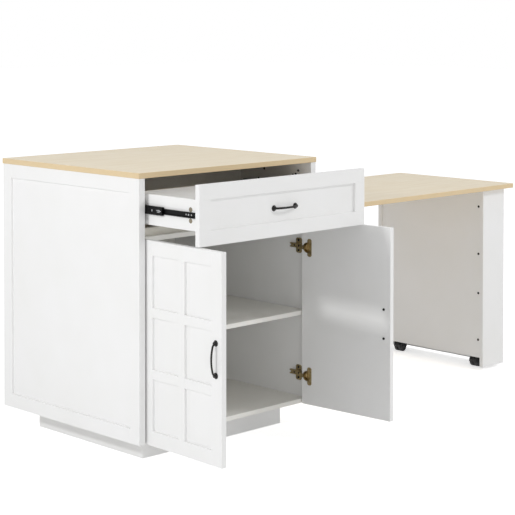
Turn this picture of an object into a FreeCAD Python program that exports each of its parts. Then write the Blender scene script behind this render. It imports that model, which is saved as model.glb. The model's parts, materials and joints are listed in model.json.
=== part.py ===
import FreeCAD
import Part

import math
import os

# Kitchen island: a cabinet with one full-width drawer over two doors, and a dining table that pulls
# out through its right side on a castered leg box.
#
# Frame: origin on the floor at the centre of the cabinet's plinth, +X towards the table's free end,
# -Y towards the doors, +Z up. Every piece is built closed and then moved to the pose it rests in:
# drawer out, both doors open and the table pulled out to its stop.

Vector = FreeCAD.Vector

# ------------------------------------------------------------------ driving dimensions, mm and degrees

# Worktop and carcass
WORKTOP_WIDTH = 800.0
WORKTOP_DEPTH = 715.0
WORKTOP_HEIGHT = 920.0
WORKTOP_THICKNESS = 18.0
WORKTOP_OVERHANG = 2.0
WORKTOP_EDGE_CHAMFER = 1.2
CARCASS_BOARD = 15.0
SIDE_BOARD = 16.0
BACK_BOARD = 12.0
EASED_EDGE = 0.8
DRAWER_BAY_DEPTH = 345.0
SHELF_TOP = 393.0
SHELF_CLEARANCE = 1.0
SHELF_PIN_RADIUS = 2.5
SHELF_PIN_LENGTH = 16.0
SHELF_PIN_INSET = 60.0
PIN_FIT = 0.05

# Applied frames of the sides and the fronts
FRAME_STRIP = 8.0
FRAME_WIDTH = 46.0
BAR_WIDTH = 30.0
DOOR_ROWS = 3

# Plinth
PLINTH_HEIGHT = 74.0
PLINTH_INSET = 88.0
PLINTH_BOARD = 15.0

# Inset fronts
FRONT_BOARD = 10.0
FRONT_GAP = 2.5
DRAWER_FRONT_HEIGHT = 186.0
CARCASS_SETBACK = 5.0
DIVIDER_RISE = 3.25

# Drawer box
DRAWER_BOX_BOARD = 12.0
DRAWER_BOX_DEPTH = 305.0
DRAWER_BOX_HEIGHT = 95.0
DRAWER_BOX_LIFT = 44.5
DRAWER_BOTTOM_BOARD = 4.0
DRAWER_BOTTOM_LIFT = 10.0
GROOVE_DEPTH = 5.0
GROOVE_FIT = 0.1
DRAWER_OPEN = 245.0

# Ball-bearing drawer slides: three nested channels with two ball cages between them
SLIDE_LENGTH = 300.0
SLIDE_WIDTH = 12.7
SLIDE_SHEET = 1.2
SLIDE_SETBACK = 4.0
OUTER_MEMBER_HEIGHT = 35.0
OUTER_MEMBER_REACH = 10.0
OUTER_MEMBER_LIP = 2.0
MIDDLE_MEMBER_HEIGHT = 26.0
MIDDLE_MEMBER_BACK = 2.6
MIDDLE_MEMBER_REACH = 11.1
MIDDLE_MEMBER_LIP = 3.1
MIDDLE_MEMBER_LENGTH = 255.0
MIDDLE_MEMBER_SETBACK = 24.5
DRAWER_MEMBER_HEIGHT = 17.0
DRAWER_MEMBER_MOUTH = 5.0
SLIDE_HOLE_RADIUS = 2.5
SLIDE_HOLE_INSET = 36.0
DRAWER_HOLE_INSET = 24.0
ACCESS_HOLE_RADIUS = 4.0
ACCESS_HOLE_INSET = 48.0
CAGE_SHEET = 0.6
CAGE_LENGTH = 100.0
CAGE_GAP = 0.4
OUTER_CAGE_SETBACK = 88.0
INNER_CAGE_SETBACK = 107.0
OUTER_CAGE_SHARE = 0.25
MIDDLE_MEMBER_SHARE = 0.5
INNER_CAGE_SHARE = 0.75

# Concealed hinges: a cup in the door, a cranked arm on a plate on the cabinet side
HINGE_FROM_DOOR_TOP = 98.5
HINGE_FROM_DOOR_BOTTOM = 97.5
HINGE_PIVOT_INSET = 11.0
HINGE_PIVOT_DEPTH = 7.0
HINGE_PIN_RADIUS = 1.1
HINGE_PIN_FIT = 0.05
CUP_RADIUS = 17.5
CUP_INSET = 22.5
CUP_DEPTH = 14.0
CUP_SHEET = 0.8
CUP_BORE_FIT = 0.1
CUP_FLANGE = 1.2
CUP_WING_HALF_HEIGHT = 30.5
CUP_WING_WIDTH = 18.0
CUP_WING_START = 1.0
CUP_CHEEK = 2.0
CUP_CHEEK_HALF_WIDTH = 2.6
KNUCKLE_SIDE_GAP = 0.4
KNUCKLE_EYE_WALL = 0.9
ARM_SHEET = 1.5
ARM_HALF_WIDTH = 6.0
ARM_BODY_HALF_WIDTH = 7.5
ARM_CRANK_OUT = 15.0
ARM_CRANK_BACK = 19.3
ARM_WEB_HEIGHT = 9.95
ARM_SHOULDER = 4.5
ARM_BODY_START = 33.0
ARM_BODY_END = 90.0
ARM_NOTCH = 6.0
PLATE_SCREW_LINE = 37.0
PLATE_THICKNESS = 2.4
PLATE_WIDTH = 26.0
PLATE_HALF_HEIGHT = 26.0
PLATE_RAIL_HALF_WIDTH = 5.5
PLATE_RAIL_HEIGHT = 7.6
PLATE_RAIL_START = 38.0
PLATE_RAIL_END = 84.0
LEFT_DOOR_OPEN = 92.3
RIGHT_DOOR_OPEN = 94.6

# Bow handles
HANDLE_SPACING = 96.0
HANDLE_RISE = 18.0
HANDLE_BAR_WIDTH = 7.0
HANDLE_BAR_THICKNESS = 5.0
HANDLE_END_RADIUS = 13.0
HANDLE_FOOT_RADIUS = 9.5
HANDLE_FOOT_NECK = 5.0
HANDLE_FOOT_HEIGHT = 8.0
HANDLE_SCREW_RADIUS = 2.0
HANDLE_SCREW_FIT = 0.05
HANDLE_SCREW_HEAD_RADIUS = 4.2
HANDLE_SCREW_HEAD = 2.2
HANDLE_SCREW_GRIP = 7.0
DRAWER_HANDLE_DROP = 4.0
DOOR_HANDLE_INSET = 26.0

# Pull-out table
TABLE_LENGTH = 1320.0
TABLE_WIDTH = 588.0
TABLE_THICKNESS = 18.0
TABLE_SETBACK = 54.0
TABLE_EDGE_CHAMFER = 1.2
TABLE_RUNNING_GAP = 0.5
TABLE_EDGE_GAP = 1.0
TABLE_SLOT_HEADROOM = 3.0
TABLE_REACH = 1214.0
GUIDE_WALL = 12.0
GUIDE_LIP = 5.0
GUIDE_LIP_COVER = 10.0
GUIDE_LIP_GAP = 0.7
STOP_HEIGHT = 14.0
STOP_WIDTH = 20.0
STOP_LENGTH = 120.0
STOP_GAP = 0.5
BAY_BACK_GAP = 4.0

# Leg box under the table's free end
LEG_DEPTH = 136.0
LEG_END_OVERHANG = 32.0
LEG_SIDE_OVERHANG = 22.0
LEG_BOARD = 15.0
LEG_FLOOR_GAP = 12.0
LEG_PANEL_RECESS = 8.0
LEG_INNER_PANEL_BOTTOM = 48.0
LEG_CLEAT = 20.0

# Twin-wheel casters
CASTER_INSET = 76.0
CASTER_TRAIL = 12.0
CASTER_HEAD = 12.0
WHEEL_RADIUS = 20.0
WHEEL_WIDTH = 14.0
WHEEL_EDGE_CHAMFER = 2.0
WHEEL_DISH_RADIUS = 13.5
WHEEL_DISH_DEPTH = 3.0
WHEEL_SIDE_GAP = 0.6
AXLE_RADIUS = 3.0
AXLE_FIT = 0.05
HOOD_WEB = 5.0
HOOD_THICKNESS = 1.5
HOOD_GAP = 1.0
HOOD_BOSS_RADIUS = 8.0
STEM_RADIUS = 4.5
STEM_FIT = 0.05
RACE_RADIUS = 12.0
RACE_HEIGHT = 1.7
RACE_GAP = 0.3
CASTER_PLATE = 2.5
CASTER_PLATE_SIDE = 42.0

# ------------------------------------------------------------------ places that follow from them

LEFT = -1.0
RIGHT = 1.0

FRONT_THICKNESS = FRONT_BOARD + FRAME_STRIP
X_OUTER = WORKTOP_WIDTH / 2 - WORKTOP_OVERHANG
X_INNER = X_OUTER - SIDE_BOARD - FRAME_STRIP
Y_FRONT = -WORKTOP_DEPTH / 2 + WORKTOP_OVERHANG
Y_BACK = -Y_FRONT
Y_CARCASS = Y_FRONT + FRONT_THICKNESS + CARCASS_SETBACK
Z_CARCASS_TOP = WORKTOP_HEIGHT - WORKTOP_THICKNESS
Z_DRAWER_FRONT_TOP = Z_CARCASS_TOP - FRONT_GAP
Z_DRAWER_FRONT_BOTTOM = Z_DRAWER_FRONT_TOP - DRAWER_FRONT_HEIGHT
Z_DOOR_TOP = Z_DRAWER_FRONT_BOTTOM - FRONT_GAP
Z_DOOR_BOTTOM = PLINTH_HEIGHT
Z_DIVIDER_TOP = (Z_DRAWER_FRONT_BOTTOM + Z_DOOR_TOP) / 2 + DIVIDER_RISE
Z_DIVIDER_BOTTOM = Z_DIVIDER_TOP - CARCASS_BOARD
Z_SHELF_BOTTOM = SHELF_TOP - CARCASS_BOARD
Z_TABLE_BOTTOM = Z_DIVIDER_TOP + TABLE_RUNNING_GAP
Z_TABLE_TOP = Z_TABLE_BOTTOM + TABLE_THICKNESS

DOOR_WIDTH = X_INNER - 1.5 * FRONT_GAP
HINGE_HEIGHTS = (Z_DOOR_BOTTOM + HINGE_FROM_DOOR_BOTTOM, Z_DOOR_TOP - HINGE_FROM_DOOR_TOP)
PIVOT_X = X_INNER - FRONT_GAP - HINGE_PIVOT_INSET
PIVOT_Y = Y_FRONT + HINGE_PIVOT_DEPTH
DOOR_HANDLE_Z = (Z_DOOR_TOP + Z_DOOR_BOTTOM) / 2
DRAWER_HANDLE_Z = (Z_DRAWER_FRONT_BOTTOM + Z_DRAWER_FRONT_TOP) / 2 - DRAWER_HANDLE_DROP

X_DRAWER_BOX = X_INNER - SLIDE_WIDTH
Z_DRAWER_BOX = Z_DRAWER_FRONT_BOTTOM + DRAWER_BOX_LIFT
Z_SLIDE = Z_DRAWER_BOX + DRAWER_BOX_HEIGHT / 2
Y_DRAWER_BOX = Y_FRONT + FRONT_THICKNESS
Y_SLIDE = Y_DRAWER_BOX + SLIDE_SETBACK

Y_TABLE_FRONT = -WORKTOP_DEPTH / 2 + TABLE_SETBACK
Y_TABLE_REAR = Y_TABLE_FRONT + TABLE_WIDTH
X_TABLE_END = WORKTOP_WIDTH / 2 + TABLE_REACH
X_LEG_OUTER = X_TABLE_END - LEG_END_OVERHANG
X_LEG_INNER = X_LEG_OUTER - LEG_DEPTH
Y_LEG_FRONT = Y_TABLE_FRONT + LEG_SIDE_OVERHANG
Y_LEG_REAR = Y_TABLE_REAR - LEG_SIDE_OVERHANG
CASTER_HEIGHT = 2 * WHEEL_RADIUS + CASTER_HEAD
X_CASTER = (X_LEG_INNER + X_LEG_OUTER) / 2
CASTER_ROWS = (Y_LEG_FRONT + CASTER_INSET, Y_LEG_REAR - CASTER_INSET)


# ------------------------------------------------------------------ helpers


def block(x0, x1, y0, y1, z0, z1):
    """A rectangular board between two corners, given in any order."""
    low = Vector(min(x0, x1), min(y0, y1), min(z0, z1))
    return Part.makeBox(abs(x1 - x0), abs(y1 - y0), abs(z1 - z0), low)


def edges_on(shape, axis, value):
    """The edges of a shape that lie in the plane axis = value."""
    return [e for e in shape.Edges if all(abs(v.Point[axis] - value) < 1e-6 for v in e.Vertexes)]


def eased(board, axis, value, size=EASED_EDGE):
    """A board whose edges round one face are chamfered."""
    return board.makeChamfer(size, edges_on(board, axis, value))


def eased_all_round(board, size):
    """A table or worktop board with every edge chamfered."""
    return board.makeChamfer(size, board.Edges)


def rod(radius, start, end):
    """A round bar between two points."""
    run = end.sub(start)
    return Part.makeCylinder(radius, run.Length, start, run)


def extruded(points, run):
    """A prism from a closed outline and a run vector."""
    outline = Part.makePolygon(points + [points[0]])
    return Part.Face(outline).extrude(run)


def mirrored(shape):
    """The other hand of a piece: left becomes right."""
    return shape.mirror(Vector(0, 0, 0), Vector(1, 0, 0))


def handed(shape, side):
    """A piece built for the left side, for the side that is asked for."""
    return shape if side == LEFT else mirrored(shape)


# ------------------------------------------------------------------ carcass


def make_worktop():
    top = block(-WORKTOP_WIDTH / 2, WORKTOP_WIDTH / 2, -WORKTOP_DEPTH / 2, WORKTOP_DEPTH / 2,
                Z_CARCASS_TOP, WORKTOP_HEIGHT)
    return eased_all_round(top, WORKTOP_EDGE_CHAMFER)


def shelf_pin_places():
    """Depth of the front and rear shelf pins."""
    return (Y_CARCASS + SHELF_PIN_INSET, Y_BACK - BACK_BOARD - SHELF_PIN_INSET)


def shelf_pin(side, y, radius=SHELF_PIN_RADIUS):
    """A pin half in the side board and half under the shelf."""
    z = Z_SHELF_BOTTOM - SHELF_PIN_RADIUS - PIN_FIT
    reach = SHELF_PIN_LENGTH / 2
    return rod(radius, Vector(side * (X_INNER + reach), y, z), Vector(side * (X_INNER - reach), y, z))


def table_slot():
    """The space that the table slides through in the right side board."""
    return block(X_INNER - 1, X_OUTER + 1, Y_TABLE_FRONT - TABLE_EDGE_GAP, Y_TABLE_REAR + TABLE_EDGE_GAP,
                 Z_DIVIDER_TOP, Z_TABLE_TOP + TABLE_SLOT_HEADROOM)


def make_side_board(side):
    board = block(side * X_INNER, side * (X_INNER + SIDE_BOARD), Y_FRONT, Y_BACK, PLINTH_HEIGHT, Z_CARCASS_TOP)
    board = eased(board, 0, side * X_INNER)
    for y in shelf_pin_places():
        board = board.cut(shelf_pin(side, y, SHELF_PIN_RADIUS + PIN_FIT))
    if side == RIGHT:
        board = board.cut(table_slot())
    return board


def make_side_frame(side):
    """Two full-height stiles with a top and a bottom rail between them, on the outside of a side board."""
    x_face = side * X_OUTER
    x_board = side * (X_INNER + SIDE_BOARD)
    strips = []
    for y0, y1 in ((Y_FRONT, Y_FRONT + FRAME_WIDTH), (Y_BACK - FRAME_WIDTH, Y_BACK)):
        strips.append(block(x_board, x_face, y0, y1, PLINTH_HEIGHT, Z_CARCASS_TOP))
    for z0, z1 in ((PLINTH_HEIGHT, PLINTH_HEIGHT + FRAME_WIDTH), (Z_CARCASS_TOP - FRAME_WIDTH, Z_CARCASS_TOP)):
        strips.append(block(x_board, x_face, Y_FRONT + FRAME_WIDTH, Y_BACK - FRAME_WIDTH, z0, z1))
    return [eased(strip, 0, x_face, EASED_EDGE / 2) for strip in strips]


def make_carcass():
    y_back = Y_BACK - BACK_BOARD
    bottom = block(-X_INNER, X_INNER, Y_CARCASS, y_back, PLINTH_HEIGHT, PLINTH_HEIGHT + CARCASS_BOARD)
    divider = block(-X_INNER, X_INNER, Y_CARCASS, y_back, Z_DIVIDER_BOTTOM, Z_DIVIDER_TOP)
    shelf_x = X_INNER - SHELF_CLEARANCE
    shelf = block(-shelf_x, shelf_x, Y_CARCASS, y_back - SHELF_CLEARANCE, Z_SHELF_BOTTOM, SHELF_TOP)
    back = block(-X_INNER, X_INNER, y_back, Y_BACK, PLINTH_HEIGHT, Z_CARCASS_TOP)
    y_bay = Y_FRONT + DRAWER_BAY_DEPTH
    bay_back = block(-X_INNER, X_INNER, y_bay, y_bay + CARCASS_BOARD, Z_TABLE_TOP + BAY_BACK_GAP, Z_CARCASS_TOP)
    return {
        "worktop": [make_worktop()],
        "left_side_board": [make_side_board(LEFT)],
        "left_side_frame": make_side_frame(LEFT),
        "right_side_board": [make_side_board(RIGHT)],
        "right_side_frame": make_side_frame(RIGHT),
        "bottom_panel": [eased(bottom, 1, Y_CARCASS)],
        "divider": [eased(divider, 1, Y_CARCASS)],
        "middle_shelf": [eased(shelf, 1, Y_CARCASS)],
        "shelf_pins": [shelf_pin(side, y) for side in (LEFT, RIGHT) for y in shelf_pin_places()],
        "back_panel": [eased(back, 1, Y_BACK)],
        "drawer_bay_back": [bay_back],
    }


def make_plinth():
    """Four boards set back all round, and a stretcher across the middle that the origin lies under."""
    x = WORKTOP_WIDTH / 2 - PLINTH_INSET
    y = WORKTOP_DEPTH / 2 - PLINTH_INSET
    board = PLINTH_BOARD
    sides = [block(side * x, side * (x - board), -y, y - board, 0, PLINTH_HEIGHT) for side in (LEFT, RIGHT)]
    return {
        "plinth_front": [block(board - x, x - board, -y, board - y, 0, PLINTH_HEIGHT)],
        "plinth_rear": [block(-x, x, y - board, y, 0, PLINTH_HEIGHT)],
        "plinth_sides": sides,
        "plinth_stretcher": [block(-board / 2, board / 2, board - y, y - board, 0, PLINTH_HEIGHT)],
    }


def make_table_guides():
    """Two rails on the divider, each with a strip on top that laps over the table's edge."""
    z_lip = Z_TABLE_TOP + GUIDE_LIP_GAP
    rails = []
    lips = []
    for edge, away in ((Y_TABLE_FRONT, -1), (Y_TABLE_REAR, 1)):
        inner = edge + away * TABLE_EDGE_GAP
        outer = inner + away * GUIDE_WALL
        tip = edge - away * GUIDE_LIP_COVER
        rails.append(block(-X_INNER, X_INNER, inner, outer, Z_DIVIDER_TOP, z_lip))
        lips.append(block(-X_INNER, X_INNER, tip, outer, z_lip, z_lip + GUIDE_LIP))
    return {"table_guide_rails": rails, "table_guide_lips": lips}


# ------------------------------------------------------------------ drawer slides


def slide_point(side, out, height):
    """A point of a slide's section: out from the cabinet side, up from the slide's centre."""
    return Vector(side * (X_INNER - out), 0, Z_SLIDE + height)


def channel(side, back, mouth, height, lip, y_start, length):
    """A folded sheet channel along Y: web at back, arms to mouth, lips turned in at the mouth."""
    half = height / 2
    sheet = SLIDE_SHEET
    turn = math.copysign(sheet, mouth - back)
    section = [(back, -half), (mouth, -half), (mouth, sheet + lip - half), (mouth - turn, sheet + lip - half),
               (mouth - turn, sheet - half), (back + turn, sheet - half), (back + turn, half - sheet),
               (mouth - turn, half - sheet), (mouth - turn, half - sheet - lip), (mouth, half - sheet - lip),
               (mouth, half), (back, half)]
    if lip == 0:
        section = [section[i] for i in (0, 1, 2, 5, 6, 9, 10, 11)]
    points = [slide_point(side, out, up).add(Vector(0, y_start, 0)) for out, up in section]
    return extruded(points, Vector(0, length, 0))


def slide_hole(side, radius, web, y):
    """A cutter for a round hole through a slide's web, which starts at a distance from the cabinet side."""
    start = slide_point(side, web - 1, 0).add(Vector(0, y, 0))
    end = slide_point(side, web + SLIDE_SHEET + 1, 0).add(Vector(0, y, 0))
    return rod(radius, start, end)


def cabinet_member(side):
    member = channel(side, 0, OUTER_MEMBER_REACH, OUTER_MEMBER_HEIGHT, OUTER_MEMBER_LIP, Y_SLIDE, SLIDE_LENGTH)
    for y in (Y_SLIDE + SLIDE_HOLE_INSET, Y_SLIDE + SLIDE_LENGTH - SLIDE_HOLE_INSET):
        member = member.cut(slide_hole(side, SLIDE_HOLE_RADIUS, 0, y))
    return member


def middle_member(side):
    start = Y_SLIDE + MIDDLE_MEMBER_SETBACK
    member = channel(side, MIDDLE_MEMBER_BACK, MIDDLE_MEMBER_REACH, MIDDLE_MEMBER_HEIGHT, MIDDLE_MEMBER_LIP,
                     start, MIDDLE_MEMBER_LENGTH)
    return member.cut(slide_hole(side, ACCESS_HOLE_RADIUS, MIDDLE_MEMBER_BACK, start + ACCESS_HOLE_INSET))


def drawer_member(side):
    member = channel(side, SLIDE_WIDTH, DRAWER_MEMBER_MOUTH, DRAWER_MEMBER_HEIGHT, 0, Y_SLIDE, SLIDE_LENGTH)
    for y in (Y_SLIDE + DRAWER_HOLE_INSET, Y_SLIDE + 2 * DRAWER_HOLE_INSET):
        member = member.cut(slide_hole(side, SLIDE_HOLE_RADIUS, SLIDE_WIDTH - SLIDE_SHEET, y))
    return member


def ball_cage(side, back, mouth, race_outer, race_inner, setback):
    """A folded strip that keeps the balls in place between two members of a slide.

    race_outer and race_inner are the half heights of the two faces that the balls roll on.
    """
    height = race_outer + race_inner + CAGE_SHEET
    section = [(back, -height / 2), (mouth, -height / 2), (mouth, CAGE_SHEET - height / 2),
               (back + CAGE_SHEET, CAGE_SHEET - height / 2), (back + CAGE_SHEET, height / 2 - CAGE_SHEET),
               (mouth, height / 2 - CAGE_SHEET), (mouth, height / 2), (back, height / 2)]
    start = Vector(0, Y_SLIDE + setback, 0)
    return extruded([slide_point(side, out, up).add(start) for out, up in section], Vector(0, CAGE_LENGTH, 0))


def outer_cage(side):
    """The cage between the cabinet member and the middle member."""
    back = SLIDE_SHEET + CAGE_GAP
    mouth = OUTER_MEMBER_REACH - SLIDE_SHEET - CAGE_GAP
    race_outer = OUTER_MEMBER_HEIGHT / 2 - SLIDE_SHEET
    return ball_cage(side, back, mouth, race_outer, MIDDLE_MEMBER_HEIGHT / 2, OUTER_CAGE_SETBACK)


def inner_cage(side):
    """The cage between the middle member and the drawer member."""
    back = MIDDLE_MEMBER_BACK + SLIDE_SHEET + CAGE_GAP / 2
    mouth = MIDDLE_MEMBER_REACH - SLIDE_SHEET - CAGE_GAP
    race_outer = MIDDLE_MEMBER_HEIGHT / 2 - SLIDE_SHEET
    return ball_cage(side, back, mouth, race_outer, DRAWER_MEMBER_HEIGHT / 2, INNER_CAGE_SETBACK)


def pulled(shapes, share=1.0):
    """Pieces that move with the drawer, or with a share of its travel, at the drawer's rest position."""
    return [shape.translated(Vector(0, -DRAWER_OPEN * share, 0)) for shape in shapes]


def make_slides():
    return {
        "left_slide_cabinet_member": [cabinet_member(LEFT)],
        "right_slide_cabinet_member": [cabinet_member(RIGHT)],
        "slide_outer_ball_cages": pulled([outer_cage(LEFT), outer_cage(RIGHT)], OUTER_CAGE_SHARE),
        "left_slide_middle_member": pulled([middle_member(LEFT)], MIDDLE_MEMBER_SHARE),
        "right_slide_middle_member": pulled([middle_member(RIGHT)], MIDDLE_MEMBER_SHARE),
        "slide_inner_ball_cages": pulled([inner_cage(LEFT), inner_cage(RIGHT)], INNER_CAGE_SHARE),
        "left_slide_drawer_member": pulled([drawer_member(LEFT)]),
        "right_slide_drawer_member": pulled([drawer_member(RIGHT)]),
    }


# ------------------------------------------------------------------ handles


def handle_foot(x):
    """A round foot that flares from the bar's neck to the front, which lies at y = 0."""
    return Part.makeCone(HANDLE_FOOT_RADIUS, HANDLE_FOOT_NECK, HANDLE_FOOT_HEIGHT,
                         Vector(x, 0, 0), Vector(0, -1, 0))


def bow_arcs(thickness):
    """One side of the bow's outline, moved out by a thickness: an end arc, the shallow arc, an end arc."""
    half = HANDLE_SPACING / 2
    end = HANDLE_END_RADIUS
    bow = ((half - end) ** 2 + HANDLE_RISE ** 2 - end ** 2) / (2 * (HANDLE_RISE - end))
    bow_centre = bow - HANDLE_RISE
    lean = math.atan2(bow_centre, half - end)
    radius = end + thickness
    points = []
    for angle in (0, lean / 2, lean):
        points.append(Vector(half - end + radius * math.cos(angle), -radius * math.sin(angle), 0))
    other = [Vector(-point.x, point.y, 0) for point in points]
    crown = Vector(0, -HANDLE_RISE - thickness, 0)
    return [Part.Arc(*points).toShape(), Part.Arc(points[2], crown, other[2]).toShape(),
            Part.Arc(other[2], other[1], other[0]).toShape()]


def handle_bar():
    """The bow: two tight end arcs and one shallow arc that meets them tangentially."""
    inner = bow_arcs(-HANDLE_BAR_THICKNESS / 2)
    outer = bow_arcs(HANDLE_BAR_THICKNESS / 2)
    ends = [Part.makeLine(inner[i].Vertexes[k].Point, outer[i].Vertexes[k].Point) for i, k in ((0, 0), (2, 1))]
    outline = Part.Wire(Part.__sortEdges__(inner + outer + ends))
    bar = Part.Face(outline).extrude(Vector(0, 0, HANDLE_BAR_WIDTH))
    return bar.translated(Vector(0, 0, -HANDLE_BAR_WIDTH / 2))


def make_handle():
    """A bow handle along X with its feet on the plane y = 0 and its screw holes from behind."""
    half = HANDLE_SPACING / 2
    handle = handle_bar().fuse([handle_foot(-half), handle_foot(half)])
    for x in (-half, half):
        handle = handle.cut(rod(HANDLE_SCREW_RADIUS + HANDLE_SCREW_FIT, Vector(x, 1, 0),
                                Vector(x, -HANDLE_SCREW_GRIP - HANDLE_SCREW_FIT, 0)))
    return handle.removeSplitter()


def handle_screws(thickness):
    """Two pan-head screws through a front of the given thickness."""
    screws = []
    for x in (-HANDLE_SPACING / 2, HANDLE_SPACING / 2):
        shank = rod(HANDLE_SCREW_RADIUS, Vector(x, thickness, 0), Vector(x, -HANDLE_SCREW_GRIP, 0))
        top = Vector(x, thickness + HANDLE_SCREW_HEAD, 0)
        screws.append(shank.fuse(rod(HANDLE_SCREW_HEAD_RADIUS, Vector(x, thickness, 0), top)))
    return screws


def handle_holes(thickness):
    """Cutters for the screw holes through a front."""
    radius = HANDLE_SCREW_RADIUS + HANDLE_SCREW_FIT
    places = (-HANDLE_SPACING / 2, HANDLE_SPACING / 2)
    return [rod(radius, Vector(x, -1, 0), Vector(x, thickness + 1, 0)) for x in places]


def placed(shapes, x, y, z, upright=False):
    """Handle pieces moved to a front, turned on end for a door."""
    moved = []
    for shape in shapes:
        copy = shape.copy()
        if upright:
            copy.rotate(Vector(0, 0, 0), Vector(0, 1, 0), 90)
        copy.translate(Vector(x, y, z))
        moved.append(copy)
    return moved


# ------------------------------------------------------------------ drawer


def make_drawer_front():
    """A board with two full-width rails and two stiles between them."""
    x = X_INNER - FRONT_GAP
    z0 = Z_DRAWER_FRONT_BOTTOM
    z1 = Z_DRAWER_FRONT_TOP
    y_board = Y_FRONT + FRAME_STRIP
    board = block(-x, x, y_board, y_board + FRONT_BOARD, z0, z1)
    for hole in placed(handle_holes(FRONT_BOARD), 0, y_board, DRAWER_HANDLE_Z):
        board = board.cut(hole)
    z_low = z0 + FRAME_WIDTH
    z_high = z1 - FRAME_WIDTH
    strips = [block(-x, x, Y_FRONT, y_board, z0, z_low), block(-x, x, Y_FRONT, y_board, z_high, z1)]
    for side in (LEFT, RIGHT):
        strips.append(block(side * x, side * (x - FRAME_WIDTH), Y_FRONT, y_board, z_low, z_high))
    return board, [eased(strip, 1, Y_FRONT, EASED_EDGE / 2) for strip in strips]


def drawer_bottom_space(fit):
    """The bottom board, or with a fit the groove that it sits in."""
    x = X_DRAWER_BOX - DRAWER_BOX_BOARD + GROOVE_DEPTH + fit
    z = Z_DRAWER_BOX + DRAWER_BOTTOM_LIFT
    y_end = Y_DRAWER_BOX + DRAWER_BOX_DEPTH - DRAWER_BOX_BOARD + GROOVE_DEPTH + fit
    return block(-x, x, Y_DRAWER_BOX, y_end, z - fit, z + DRAWER_BOTTOM_BOARD + fit)


def make_drawer_side(side):
    x = side * X_DRAWER_BOX
    y_end = Y_DRAWER_BOX + DRAWER_BOX_DEPTH
    top = Z_DRAWER_BOX + DRAWER_BOX_HEIGHT
    board = block(x, x - side * DRAWER_BOX_BOARD, Y_DRAWER_BOX, y_end, Z_DRAWER_BOX, top)
    board = eased(board, 2, top)
    return board.cut(drawer_bottom_space(GROOVE_FIT))


def make_drawer():
    front_board, front_frame = make_drawer_front()
    inner = X_DRAWER_BOX - DRAWER_BOX_BOARD
    y_end = Y_DRAWER_BOX + DRAWER_BOX_DEPTH
    back = block(-inner, inner, y_end - DRAWER_BOX_BOARD, y_end, Z_DRAWER_BOX, Z_DRAWER_BOX + DRAWER_BOX_HEIGHT)
    back = back.cut(drawer_bottom_space(GROOVE_FIT))
    y_panel = Y_FRONT + FRAME_STRIP
    return {
        "drawer_front_board": pulled([front_board]),
        "drawer_front_frame": pulled(front_frame),
        "drawer_left_side": pulled([make_drawer_side(LEFT)]),
        "drawer_right_side": pulled([make_drawer_side(RIGHT)]),
        "drawer_back": pulled([back]),
        "drawer_bottom": pulled([drawer_bottom_space(0)]),
        "drawer_handle": pulled(placed([make_handle()], 0, y_panel, DRAWER_HANDLE_Z)),
        "drawer_handle_screws": pulled(placed(handle_screws(FRONT_BOARD), 0, y_panel, DRAWER_HANDLE_Z)),
    }


# ------------------------------------------------------------------ doors and hinges, built for the left side


def hinge_point(inset, depth, z):
    """A point given from the cabinet side's inner face and from the fronts' outer face."""
    return Vector(inset - X_INNER, Y_FRONT + depth, z)


def opened(shapes, side):
    """Door pieces swung to the door's rest angle, and handed."""
    angle = -LEFT_DOOR_OPEN if side == LEFT else -RIGHT_DOOR_OPEN
    turned = []
    for shape in shapes:
        copy = shape.copy()
        copy.rotate(Vector(-PIVOT_X, PIVOT_Y, 0), Vector(0, 0, 1), angle)
        turned.append(handed(copy, side))
    return turned


def cup_centre(z, depth):
    return hinge_point(FRONT_GAP + CUP_INSET, depth, z)


def cup_bore(z):
    """The blind hole that a hinge cup drops into."""
    floor = FRONT_THICKNESS - CUP_DEPTH - CUP_BORE_FIT
    return rod(CUP_RADIUS + CUP_BORE_FIT, cup_centre(z, floor), cup_centre(z, FRONT_THICKNESS + 1))


def make_door_panel():
    """The backing board and the strips of one door: stiles, rails, a centre bar and cross bars."""
    x0 = FRONT_GAP - X_INNER
    x1 = x0 + DOOR_WIDTH
    y_board = Y_FRONT + FRAME_STRIP
    board = block(x0, x1, y_board, y_board + FRONT_BOARD, Z_DOOR_BOTTOM, Z_DOOR_TOP)
    strips = [block(x0, x0 + FRAME_WIDTH, Y_FRONT, y_board, Z_DOOR_BOTTOM, Z_DOOR_TOP),
              block(x1 - FRAME_WIDTH, x1, Y_FRONT, y_board, Z_DOOR_BOTTOM, Z_DOOR_TOP)]
    for z0, z1 in ((Z_DOOR_BOTTOM, Z_DOOR_BOTTOM + FRAME_WIDTH), (Z_DOOR_TOP - FRAME_WIDTH, Z_DOOR_TOP)):
        strips.append(block(x0 + FRAME_WIDTH, x1 - FRAME_WIDTH, Y_FRONT, y_board, z0, z1))
    middle = (x0 + x1) / 2
    bar = BAR_WIDTH / 2
    z_low = Z_DOOR_BOTTOM + FRAME_WIDTH
    z_high = Z_DOOR_TOP - FRAME_WIDTH
    strips.append(block(middle - bar, middle + bar, Y_FRONT, y_board, z_low, z_high))
    pane = (z_high - z_low - (DOOR_ROWS - 1) * BAR_WIDTH) / DOOR_ROWS
    for row in range(1, DOOR_ROWS):
        z = z_low + row * pane + (row - 1) * BAR_WIDTH
        strips.append(block(x0 + FRAME_WIDTH, middle - bar, Y_FRONT, y_board, z, z + BAR_WIDTH))
        strips.append(block(middle + bar, x1 - FRAME_WIDTH, Y_FRONT, y_board, z, z + BAR_WIDTH))
    frame = [eased(strip, 1, Y_FRONT, EASED_EDGE / 2) for strip in strips]
    holes = placed(handle_holes(FRONT_THICKNESS), x1 - DOOR_HANDLE_INSET, Y_FRONT, DOOR_HANDLE_Z, upright=True)
    bores = [cup_bore(z) for z in HINGE_HEIGHTS]
    return board.cut(holes + bores), [strip.cut(holes + bores) for strip in frame]


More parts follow.
